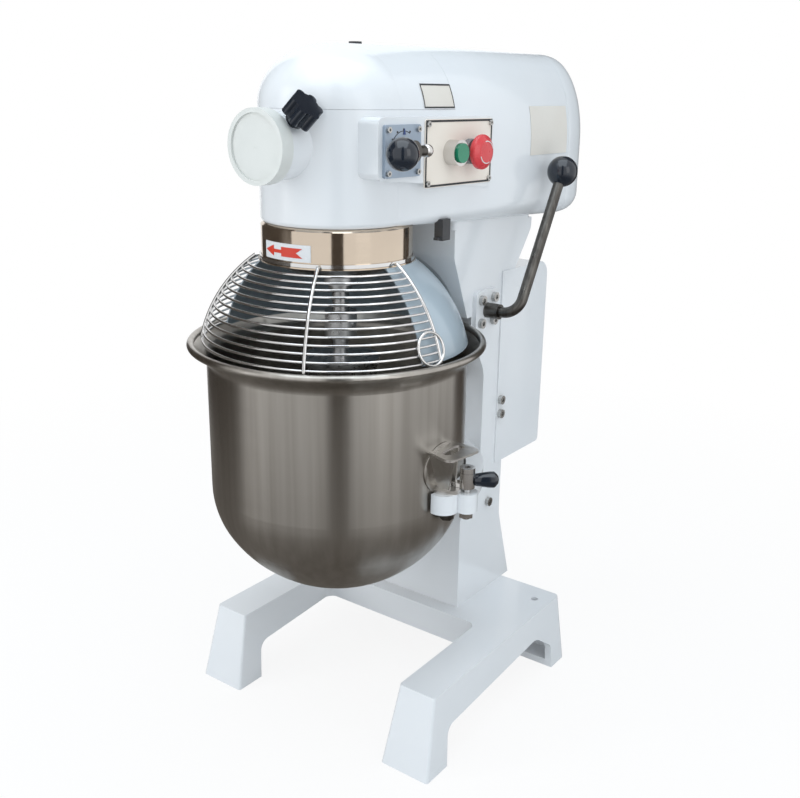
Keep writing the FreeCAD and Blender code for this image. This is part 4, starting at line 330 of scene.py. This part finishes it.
STEEL = dict(metal=1.0, tone=upright_brushing, tone_scale=60, grain=ring_brushing, grain_scale=900)
finishes = {
    "enamel": finish("white_enamel", (0.81, 0.825, 0.845), (0.84, 0.85, 0.865),
                         (0.22, 0.27), bump=0.03, coat=0.4),
    "guard_enamel": finish("blue_grey_enamel", (0.42, 0.50, 0.56), (0.47, 0.55, 0.61),
                         (0.2, 0.26), coat=0.4),
    "bowl_steel": finish("brushed_bowl_steel", (0.39, 0.37, 0.34), (0.47, 0.45, 0.42),
                         (0.29, 0.31), bump=0.02,
                         metal=1.0, aniso=0.85, turn=0.25, tone=upright_brushing, tone_scale=90,
                         grain=ring_brushing, grain_scale=900),
    "ear_steel": finish("satin_handle_steel", (0.66, 0.65, 0.63), (0.78, 0.77, 0.75),
                         (0.26, 0.36), bump=0.1, **STEEL),
    # Painted reflection: the ring's tan metal colour stands in for warm surroundings mirrored in the polished
    # steel.
    "ring_chrome": finish("polished_ring_steel", (0.60, 0.51, 0.42), (0.68, 0.58, 0.47),
                         (0.10, 0.15), bump=0.03,
                         metal=1.0, aniso=0.7, turn=0.25, grain=ring_brushing, grain_scale=700),
    "wire_chrome": finish("bright_wire", (0.66, 0.66, 0.66), (0.80, 0.80, 0.80),
                         (0.06, 0.14), metal=1.0, bump=0.02),
    "fitting_chrome": finish("plated_fittings", (0.62, 0.61, 0.60), (0.76, 0.75, 0.74),
                         (0.10, 0.18), metal=1.0),
    "stop_bezel": finish("grey_collar_plastic", (0.20, 0.20, 0.21), (0.27, 0.27, 0.28),
                         (0.35, 0.5)),
    "screw_steel": finish("zinc_screws", (0.42, 0.42, 0.41), (0.58, 0.58, 0.57),
                         (0.2, 0.35), metal=1.0),
    "lever_steel": finish("drawn_lever_steel", (0.08, 0.075, 0.07), (0.15, 0.145, 0.135),
                         (0.25, 0.4), bump=0.2,
                         metal=1.0, tone=upright_brushing, tone_scale=120,
                         grain=upright_brushing, grain_scale=600),
    "machined_steel": finish("turned_steel", (0.36, 0.36, 0.36), (0.50, 0.50, 0.50),
                         (0.18, 0.3), bump=0.1, **STEEL),
    "carrier_metal": finish("turned_aluminium", (0.55, 0.56, 0.57), (0.68, 0.68, 0.69),
                         (0.25, 0.38), bump=0.1, **STEEL),
    "slide_iron": finish("oiled_iron", (0.12, 0.12, 0.12), (0.22, 0.21, 0.20),
                         (0.35, 0.55), metal=0.8, bump=0.2),
    "motor_metal": finish("motor_paint", (0.16, 0.18, 0.20), (0.22, 0.24, 0.26),
                         (0.35, 0.5), bump=0.1),
    "whisk_wire": finish("whisk_wire_steel", (0.60, 0.60, 0.60), (0.74, 0.74, 0.73),
                         (0.1, 0.2), metal=1.0),
    "whisk_metal": finish("cast_whisk_hub", (0.50, 0.51, 0.52), (0.64, 0.64, 0.65),
                         (0.25, 0.4), metal=1.0, bump=0.1),
    "black_plastic": finish("black_ball_plastic", (0.006, 0.010, 0.018), (0.013, 0.019, 0.030),
                         (0.10, 0.18), coat=0.3),
    "dark_plastic": finish("dark_moulding", (0.030, 0.031, 0.034), (0.055, 0.056, 0.06),
                         (0.4, 0.55), bump=0.1),
    "cap_plastic": finish("ivory_cap_plastic", (0.66, 0.67, 0.64), (0.73, 0.74, 0.71),
                         (0.3, 0.45), bump=0.08),
    "dial_metal": finish("blue_dial_metal", (0.30, 0.37, 0.46), (0.40, 0.47, 0.56),
                         (0.3, 0.42), metal=0.5),
    "name_metal": finish("cream_plate_metal", (0.90, 0.81, 0.71), (0.94, 0.86, 0.77), (0.35, 0.45)),
    "green_plastic": finish("green_button_plastic", (0.005, 0.20, 0.10), (0.010, 0.30, 0.16),
                         (0.15, 0.28), coat=0.4),
    "red_plastic": finish("red_button_plastic", (0.66, 0.035, 0.045), (0.80, 0.07, 0.08),
                         (0.22, 0.35), coat=0.3),
}
slot_of = {p["node"]: p["material_slot"] for p in frame["record"]["subparts"]}
for node_name, obj in nodes.items():
    obj.data.materials.clear()
    obj.data.materials.append(finishes[slot_of[node_name]])
print("finishes", len(finishes))

# %% [markdown]
# ## Tools for thin trim
# Labels, dial marks and pads are thinner than a sheet of card, so they are shaped flat by ordinary
# mesh operators and then laid on the casting with a Shrinkwrap modifier.  A Solidify modifier gives
# them their thickness.  Each piece is deselected before and after, because operators act on all that
# is selected.

# %% Define the trim tools
PAPER = 0.0003


def select_only(obj):
    bpy.ops.object.select_all(action="DESELECT")
    obj.select_set(True)
    bpy.context.view_layer.objects.active = obj


def settle(obj):
    """Writes the object's place into its mesh, as every CAD node has it."""
    select_only(obj)
    bpy.ops.object.transform_apply(location=True, rotation=True, scale=True)


def apply_modifier(obj, kind, **values):
    modifier = obj.modifiers.new(kind.lower(), kind)
    for label, value in values.items():
        setattr(modifier, label, value)
    select_only(obj)
    bpy.ops.object.modifier_apply(modifier=modifier.name)


def lay_on(obj, target, lift, thick, along_x=False):
    """Lays a flat piece on a CAD node at a small height and gives it thickness outwards."""
    if along_x:
        apply_modifier(obj, "SHRINKWRAP", target=nodes[target], wrap_method="PROJECT", use_project_x=True,
                       use_negative_direction=True, wrap_mode="ABOVE_SURFACE", offset=lift)
    else:
        apply_modifier(obj, "SHRINKWRAP", target=nodes[target], wrap_method="NEAREST_SURFACEPOINT",
                       wrap_mode="ABOVE_SURFACE", offset=lift)
    apply_modifier(obj, "SOLIDIFY", thickness=thick, offset=1.0)


def outward(obj, centre):
    """Turns the faces of an open sheet so that they look away from centre."""
    mesh = obj.data
    face = mesh.polygons[len(mesh.polygons) // 2]
    if face.normal.dot(face.center - Vector(centre)) < 0:
        select_only(obj)
        bpy.ops.object.mode_set(mode="EDIT")
        bpy.ops.mesh.select_all(action="SELECT")
        bpy.ops.mesh.flip_normals()
        bpy.ops.object.mode_set(mode="OBJECT")


def dress(obj, material, body):
    """Last step of each new piece: smooth shading, finish and body."""
    select_only(obj)
    bpy.ops.object.shade_smooth_by_angle(angle=math.radians(35))
    obj.data.materials.clear()
    obj.data.materials.append(material)
    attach(obj, body)
    bpy.ops.object.select_all(action="DESELECT")


def side_sheet(name, low_y, high_y, low_z, high_z, x, cuts=24):
    """Upright rectangular grid that faces +X."""
    place = (x, (low_y + high_y) / 2, (low_z + high_z) / 2)
    bpy.ops.mesh.primitive_grid_add(x_subdivisions=cuts, y_subdivisions=cuts, size=1, location=place,
                                    rotation=(0, math.pi / 2, 0))
    sheet = bpy.context.object
    sheet.name = name
    sheet.scale = (high_z - low_z, high_y - low_y, 1)
    settle(sheet)
    outward(sheet, (0, place[1], place[2]))
    return sheet


def keep_faces(obj, test):
    """Deletes every face whose centre fails the test."""
    select_only(obj)
    bpy.ops.object.mode_set(mode="EDIT")
    bpy.ops.mesh.select_all(action="DESELECT")
    bpy.ops.mesh.select_mode(type="FACE")
    bpy.ops.object.mode_set(mode="OBJECT")
    for face in obj.data.polygons:
        face.select = not test(face.center)
    bpy.ops.object.mode_set(mode="EDIT")
    bpy.ops.mesh.delete(type="FACE")
    bpy.ops.object.mode_set(mode="OBJECT")


label_cream = finish("label_cream", (0.76, 0.71, 0.64), (0.82, 0.78, 0.72), (0.3, 0.42))
label_white = finish("label_white", (0.74, 0.75, 0.77), (0.80, 0.81, 0.82), (0.2, 0.3), coat=0.2)
ink_dark = finish("printed_dark_ink", (0.018, 0.018, 0.02), (0.035, 0.035, 0.04), (0.35, 0.5))
ink_red = finish("printed_red_ink", (0.62, 0.03, 0.012), (0.72, 0.05, 0.02), (0.3, 0.4))
ink_blue = finish("printed_blue_ink", (0.02, 0.045, 0.18), (0.03, 0.065, 0.24), (0.3, 0.4))
ink_white = finish("printed_white_ink", (0.72, 0.70, 0.68), (0.80, 0.78, 0.76), (0.3, 0.4))
print("trim finishes ready")

# %% [markdown]
# ## Blank labels on the head
# The head carries one small bordered label beside the cover's seam and a larger plain one near the
# rear.  Both are left blank.  Each is a fine grid laid on the casting; the border is a second grid
# whose middle faces are deleted.


# %% Lay the labels
def bordered_label(name, target, low_y, high_y, low_z, high_z, rim, paper, ink):
    base = side_sheet(name, low_y, high_y, low_z, high_z, 0.12)
    lay_on(base, target, PAPER, PAPER, along_x=True)
    dress(base, paper, "frame")
    edge = side_sheet(name + "_edge", low_y, high_y, low_z, high_z, 0.12, cuts=48)
    keep_faces(edge, lambda c: not (low_y + rim < c.y < high_y - rim and low_z + rim < c.z < high_z - rim))
    lay_on(edge, target, PAPER * 2.2, PAPER, along_x=True)
    dress(edge, ink, "frame")


bordered_label("cover_label", "top_cover", -0.0905, -0.0378, 0.7885, 0.8145, 0.0015, label_cream, ink_dark)
side_label = side_sheet("side_label", 0.1265, 0.2265, 0.729, 0.790, 0.13)
lay_on(side_label, "head_casting", PAPER, PAPER, along_x=True)
dress(side_label, label_cream, "frame")
print("labels laid")

# %% [markdown]
# ## Turning arrow on the splash ring
# A red arrow on a pale strip tells the cook which way the tool turns.  The strip is a short piece of
# a cylinder: a tube with fine sides is added, and all faces outside the strip's sector are deleted.
# The arrow is the same tube, kept only where a face lies inside the arrow's outline.

# %% Wrap the turning arrow
RING_R = 0.090
STRIP_LOW, STRIP_HIGH = 0.6235, 0.6425
STRIP_FROM, STRIP_TO = -114.0, -69.0


def ring_strip(name, radius, low_z, high_z, columns, rows):
    bpy.ops.mesh.primitive_cylinder_add(vertices=columns, radius=radius, depth=high_z - low_z,
                                        end_fill_type="NOTHING", location=(0, BOWL_Y, (low_z + high_z) / 2))
    tube = bpy.context.object
    tube.name = name
    settle(tube)
    bpy.ops.object.mode_set(mode="EDIT")
    bpy.ops.mesh.select_all(action="DESELECT")
    bpy.ops.mesh.select_mode(type="EDGE")
    bpy.ops.object.mode_set(mode="OBJECT")
    for edge in tube.data.edges:
        ends = [tube.data.vertices[i].co for i in edge.vertices]
        edge.select = abs(ends[0].z - ends[1].z) > 1e-4
    bpy.ops.object.mode_set(mode="EDIT")
    bpy.ops.mesh.subdivide(number_cuts=rows - 1, quadcorner="INNERVERT")
    bpy.ops.object.mode_set(mode="OBJECT")
    return tube


def heading_of(point):
    return math.degrees(math.atan2(point.y - BOWL_Y, point.x))


def in_arrow(point):
    """Arrow with a pointed head on the left and a notched tail on the right."""
    along = (heading_of(point) - (STRIP_FROM + 1.5)) / (STRIP_TO - STRIP_FROM - 8)
    across = abs(point.z - (STRIP_LOW + STRIP_HIGH) / 2) / ((STRIP_HIGH - STRIP_LOW) / 2)
    if along < 0 or along > 1:
        return False
    if along < 0.28:
        return across < 0.66 * along / 0.28
    if along < 0.50:
        return across < 0.2
    return across < 0.56 and along < 1 - 0.14 * (1 - across / 0.56)


strip = ring_strip("arrow_strip", RING_R + PAPER, STRIP_LOW, STRIP_HIGH, 360, 2)
keep_faces(strip, lambda c: STRIP_FROM < heading_of(c) < STRIP_TO)
apply_modifier(strip, "SOLIDIFY", thickness=PAPER, offset=1.0)
dress(strip, label_white, "frame")
arrow = ring_strip("turning_arrow", RING_R + 2.2 * PAPER, STRIP_LOW, STRIP_HIGH, 1440, 60)
keep_faces(arrow, in_arrow)
apply_modifier(arrow, "SOLIDIFY", thickness=PAPER, offset=1.0)
dress(arrow, ink_red, "frame")
print("arrow faces", len(arrow.data.polygons))

# %% [markdown]
# ## Marks on the control plates
# The speed dial has a curved scale with four ticks and a pointer.  The cream plate has a dark line
# round its edge and is otherwise bare.  The panel is turned a little with the taper of the
# head, so each mark is drawn flat at the panel's middle and then turned and moved with it.

# %% Draw the control marks
PANEL_TILT = math.radians(-2.9)
PIVOT_Y = 0.050
PANEL_PIVOT = Vector((0.107, PIVOT_Y + BOWL_Y, 0))


def panel_place(y, z, height):
    """World place of a point on the tilted panel, from the bowl-axis y, z and height off its face."""
    local = Vector((height, y - PIVOT_Y, z))
    return Matrix.Rotation(PANEL_TILT, 4, "Z") @ local + PANEL_PIVOT


def panel_turn():
    return (Matrix.Rotation(PANEL_TILT, 4, "Z") @ Matrix.Rotation(math.pi / 2, 4, "Y")).to_euler()


def panel_disc(name, y, z, height, radius, vertices=64):
    bpy.ops.mesh.primitive_circle_add(vertices=vertices, radius=radius, fill_type="NGON",
                                      location=panel_place(y, z, height), rotation=panel_turn())
    disc = bpy.context.object
    disc.name = name
    return disc


def panel_frame(name, low_y, high_y, low_z, high_z, height, rim, material):
    """Thin rectangular line on the panel: a plane inset by the rim, with its middle deleted."""
    middle = panel_place((low_y + high_y) / 2, (low_z + high_z) / 2, height)
    bpy.ops.mesh.primitive_plane_add(size=1, location=middle, rotation=panel_turn())
    line = bpy.context.object
    line.name = name
    line.scale = (high_z - low_z, high_y - low_y, 1)
    settle(line)
    bpy.ops.object.mode_set(mode="EDIT")
    bpy.ops.mesh.select_all(action="SELECT")
    bpy.ops.mesh.inset(thickness=rim)
    bpy.ops.mesh.delete(type="FACE")
    bpy.ops.object.mode_set(mode="OBJECT")
    apply_modifier(line, "SOLIDIFY", thickness=PAPER, offset=1.0)
    dress(line, material, "frame")


def panel_arc(name, y, z, height, radius, width, from_deg, to_deg, material, body="frame"):
    """Curved stroke: a disc inset by its width, keeping only the outer ring inside the angles."""
    arc = panel_disc(name, y, z, height, radius, 120)
    settle(arc)
    bpy.ops.object.mode_set(mode="EDIT")
    bpy.ops.mesh.select_all(action="SELECT")
    bpy.ops.mesh.inset(thickness=width)
    bpy.ops.mesh.delete(type="FACE")
    bpy.ops.object.mode_set(mode="OBJECT")
    centre = panel_place(y, z, height)

    def inside(c):
        angle = math.degrees(math.atan2(c.z - centre.z, c.y - centre.y)) % 360
        return from_deg <= angle <= to_deg

    keep_faces(arc, inside)
    apply_modifier(arc, "SOLIDIFY", thickness=PAPER, offset=1.0)
    dress(arc, material, body)
    return arc


panel_frame("plate_line", 0.0258, 0.1557, 0.7028, 0.7762, 0.00155, 0.0023, ink_dark)
DIAL_FACE = 0.00405
DIAL_Y, DIAL_Z = -0.0164, 0.7447
panel_arc("dial_scale", DIAL_Y, DIAL_Z, DIAL_FACE, 0.0215, 0.0007, 60, 150, ink_dark)
for number, angle in enumerate((62, 90, 118, 146)):
    tick_y = DIAL_Y + 0.0228 * math.cos(math.radians(angle))
    tick_z = DIAL_Z + 0.0228 * math.sin(math.radians(angle))
    tick = panel_disc(f"dial_tick_{number}", tick_y, tick_z, DIAL_FACE, 0.0011, 24)
    settle(tick)
    apply_modifier(tick, "SOLIDIFY", thickness=PAPER, offset=1.0)
    dress(tick, ink_dark, "frame")
pointer = panel_disc("dial_pointer", DIAL_Y + 0.001, DIAL_Z + 0.0195, DIAL_FACE + PAPER, 0.0045, 3)
pointer.rotation_euler = (Matrix.Rotation(PANEL_TILT, 4, "Z") @ Matrix.Rotation(math.pi / 2, 4, "Y")
                          @ Matrix.Rotation(math.pi / 2, 4, "Z")).to_euler()
pointer.scale = (0.6, 1.0, 1.0)
settle(pointer)
apply_modifier(pointer, "SOLIDIFY", thickness=PAPER, offset=1.0)
dress(pointer, ink_blue, "frame")
print("control marks drawn")

# %% [markdown]
# ## Release arrows on the stop button
# A latching stop button is let go by a twist, which two pale curved strokes on its cap show.  They
# are arcs laid on the red cap, so they follow its crown, and they ride with the button.

# %% Lay the release strokes
STOP_Y, STOP_Z = 0.109, 0.740
CAP_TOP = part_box("stop_mushroom")[1].x
for number, (start, end) in enumerate(((20, 110), (200, 290))):
    above_cap = CAP_TOP - PANEL_PIVOT.x + 0.002
    stroke = panel_disc(f"release_stroke_{number}", STOP_Y, STOP_Z, above_cap, 0.0150, 120)
    settle(stroke)
    bpy.ops.object.mode_set(mode="EDIT")
    bpy.ops.mesh.select_all(action="SELECT")
    bpy.ops.mesh.inset(thickness=0.0022)
    bpy.ops.mesh.delete(type="FACE")
    bpy.ops.object.mode_set(mode="OBJECT")
    middle = panel_place(STOP_Y, STOP_Z, 0)
    keep_faces(stroke, lambda c: start < math.degrees(math.atan2(c.z - middle.z, c.y - middle.y)) % 360 < end)
    lay_on(stroke, "stop_mushroom", PAPER * 0.5, PAPER)
    dress(stroke, ink_white, "stop")
print("release strokes laid")

# %% [markdown]
# ## Pads behind the bowl handles
# Each handle is welded to an oval pad that spreads its load over the thin bowl wall.  A filled circle
# is inset several times, which gives it rings that can bend, stretched to an oval, and laid on the
# wall.


# %% Weld the pads
def bowl_pad(name, side):
    at_wall = (side * 0.165, BOWL_Y - 0.003, 0.387)
    bpy.ops.mesh.primitive_circle_add(vertices=64, radius=1, fill_type="NGON", location=at_wall,
                                      rotation=(0, math.pi / 2, 0))
    pad = bpy.context.object
    pad.name = name
    pad.scale = (0.030, 0.033, 1)
    settle(pad)
    bpy.ops.object.mode_set(mode="EDIT")
    bpy.ops.mesh.select_all(action="SELECT")
    for _ in range(6):
        bpy.ops.mesh.inset(thickness=0.0045)
    bpy.ops.object.mode_set(mode="OBJECT")
    outward(pad, (0, BOWL_Y, 0.392))
    lay_on(pad, "bowl", 0.0001, 0.0012)
    apply_modifier(pad, "BEVEL", width=0.0006, segments=2, limit_method="ANGLE")
    dress(pad, finishes["bowl_steel"], "carriage")


bowl_pad("handle_pad_right", 1)
bowl_pad("handle_pad_left", -1)
print("pads welded")

# %% [markdown]
# ## Tapered clamp grips
# The grips that turn the bowl's clamps are moulded with a taper: slim at the stem and fat at the
# round end.  Each is a short stack of cylinders with one profile, made from a single cylinder whose
# rings are moved out or in, and it takes the place of the plain solid grip.

# %% Mould the grips
GRIP_PROFILE = ((0.0, 0.0058), (0.0015, 0.0072), (0.009, 0.0084), (0.018, 0.0097), (0.0235, 0.0097),
                (0.0262, 0.0073), (0.0284, 0.0046), (0.0292, 0.0010))
GRIP_HEADING = math.radians(39.0)
GRIP_START = 0.0165     # from the solid grip's middle back towards the stem


def tapered_grip(name, node, body, mirror):
    low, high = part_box(node)
    middle = (low + high) / 2
    along = Vector((mirror * math.cos(GRIP_HEADING), math.sin(GRIP_HEADING), 0))
    start = middle - along * GRIP_START
    bpy.ops.mesh.primitive_cylinder_add(vertices=48, radius=1, depth=1, location=(0, 0, 0))
    grip = bpy.context.object
    grip.name = name
    bpy.ops.object.mode_set(mode="EDIT")
    bpy.ops.mesh.select_all(action="DESELECT")
    bpy.ops.mesh.select_mode(type="EDGE")
    bpy.ops.object.mode_set(mode="OBJECT")
    for edge in grip.data.edges:
        ends = [grip.data.vertices[i].co.z for i in edge.vertices]
        edge.select = abs(ends[0] - ends[1]) > 0.5
    bpy.ops.object.mode_set(mode="EDIT")
    bpy.ops.mesh.subdivide(number_cuts=len(GRIP_PROFILE) - 2, quadcorner="INNERVERT")
    bpy.ops.object.mode_set(mode="OBJECT")
    rings = len(GRIP_PROFILE) - 1
    for vertex in grip.data.vertices:
        level, radius = GRIP_PROFILE[round((vertex.co.z + 0.5) * rings)]
        vertex.co = (vertex.co.x * radius, vertex.co.y * radius, level)
    grip.rotation_euler = along.to_track_quat("Z", "Y").to_euler()
    grip.location = start
    settle(grip)
    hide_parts(node)
    dress(grip, finishes["black_plastic"], body)


tapered_grip("clamp_handle_right", "clamp_grip_right", "clamp_right", 1)
tapered_grip("clamp_handle_left", "clamp_grip_left", "clamp_left", -1)
print("grips moulded")

# %% [markdown]
# ## Nuts under the bowl arms
# The pin that locates each bowl handle goes right through its arm and is held by a nut below it.

# %% Fit the nuts
ARM_UNDERSIDE = 0.336
PIN_X = 0.167
NUT_DEPTH = 0.014
for side, label in ((1, "right"), (-1, "left")):
    bpy.ops.mesh.primitive_cylinder_add(vertices=6, radius=0.0085, depth=NUT_DEPTH,
                                        location=(side * PIN_X, BOWL_Y, ARM_UNDERSIDE - NUT_DEPTH / 2))
    nut = bpy.context.object
    nut.name = f"pin_nut_{label}"
    settle(nut)
    apply_modifier(nut, "BEVEL", width=0.0008, segments=2)
    dress(nut, finishes["lever_steel"], "carriage")
print("nuts fitted")

# %% [markdown]
# ## Bright end of the speed lever
# The short arm of the speed lever ends in a plated boss, which catches the light beside the dial.

# %% Turn the boss
bpy.ops.mesh.primitive_uv_sphere_add(segments=48, ring_count=24, radius=0.0075,
                                     location=panel_place(0.012, DIAL_Z, 0.0140))
boss = bpy.context.object
boss.name = "speed_boss"
settle(boss)
dress(boss, finishes["fitting_chrome"], "speed")
print("boss turned")
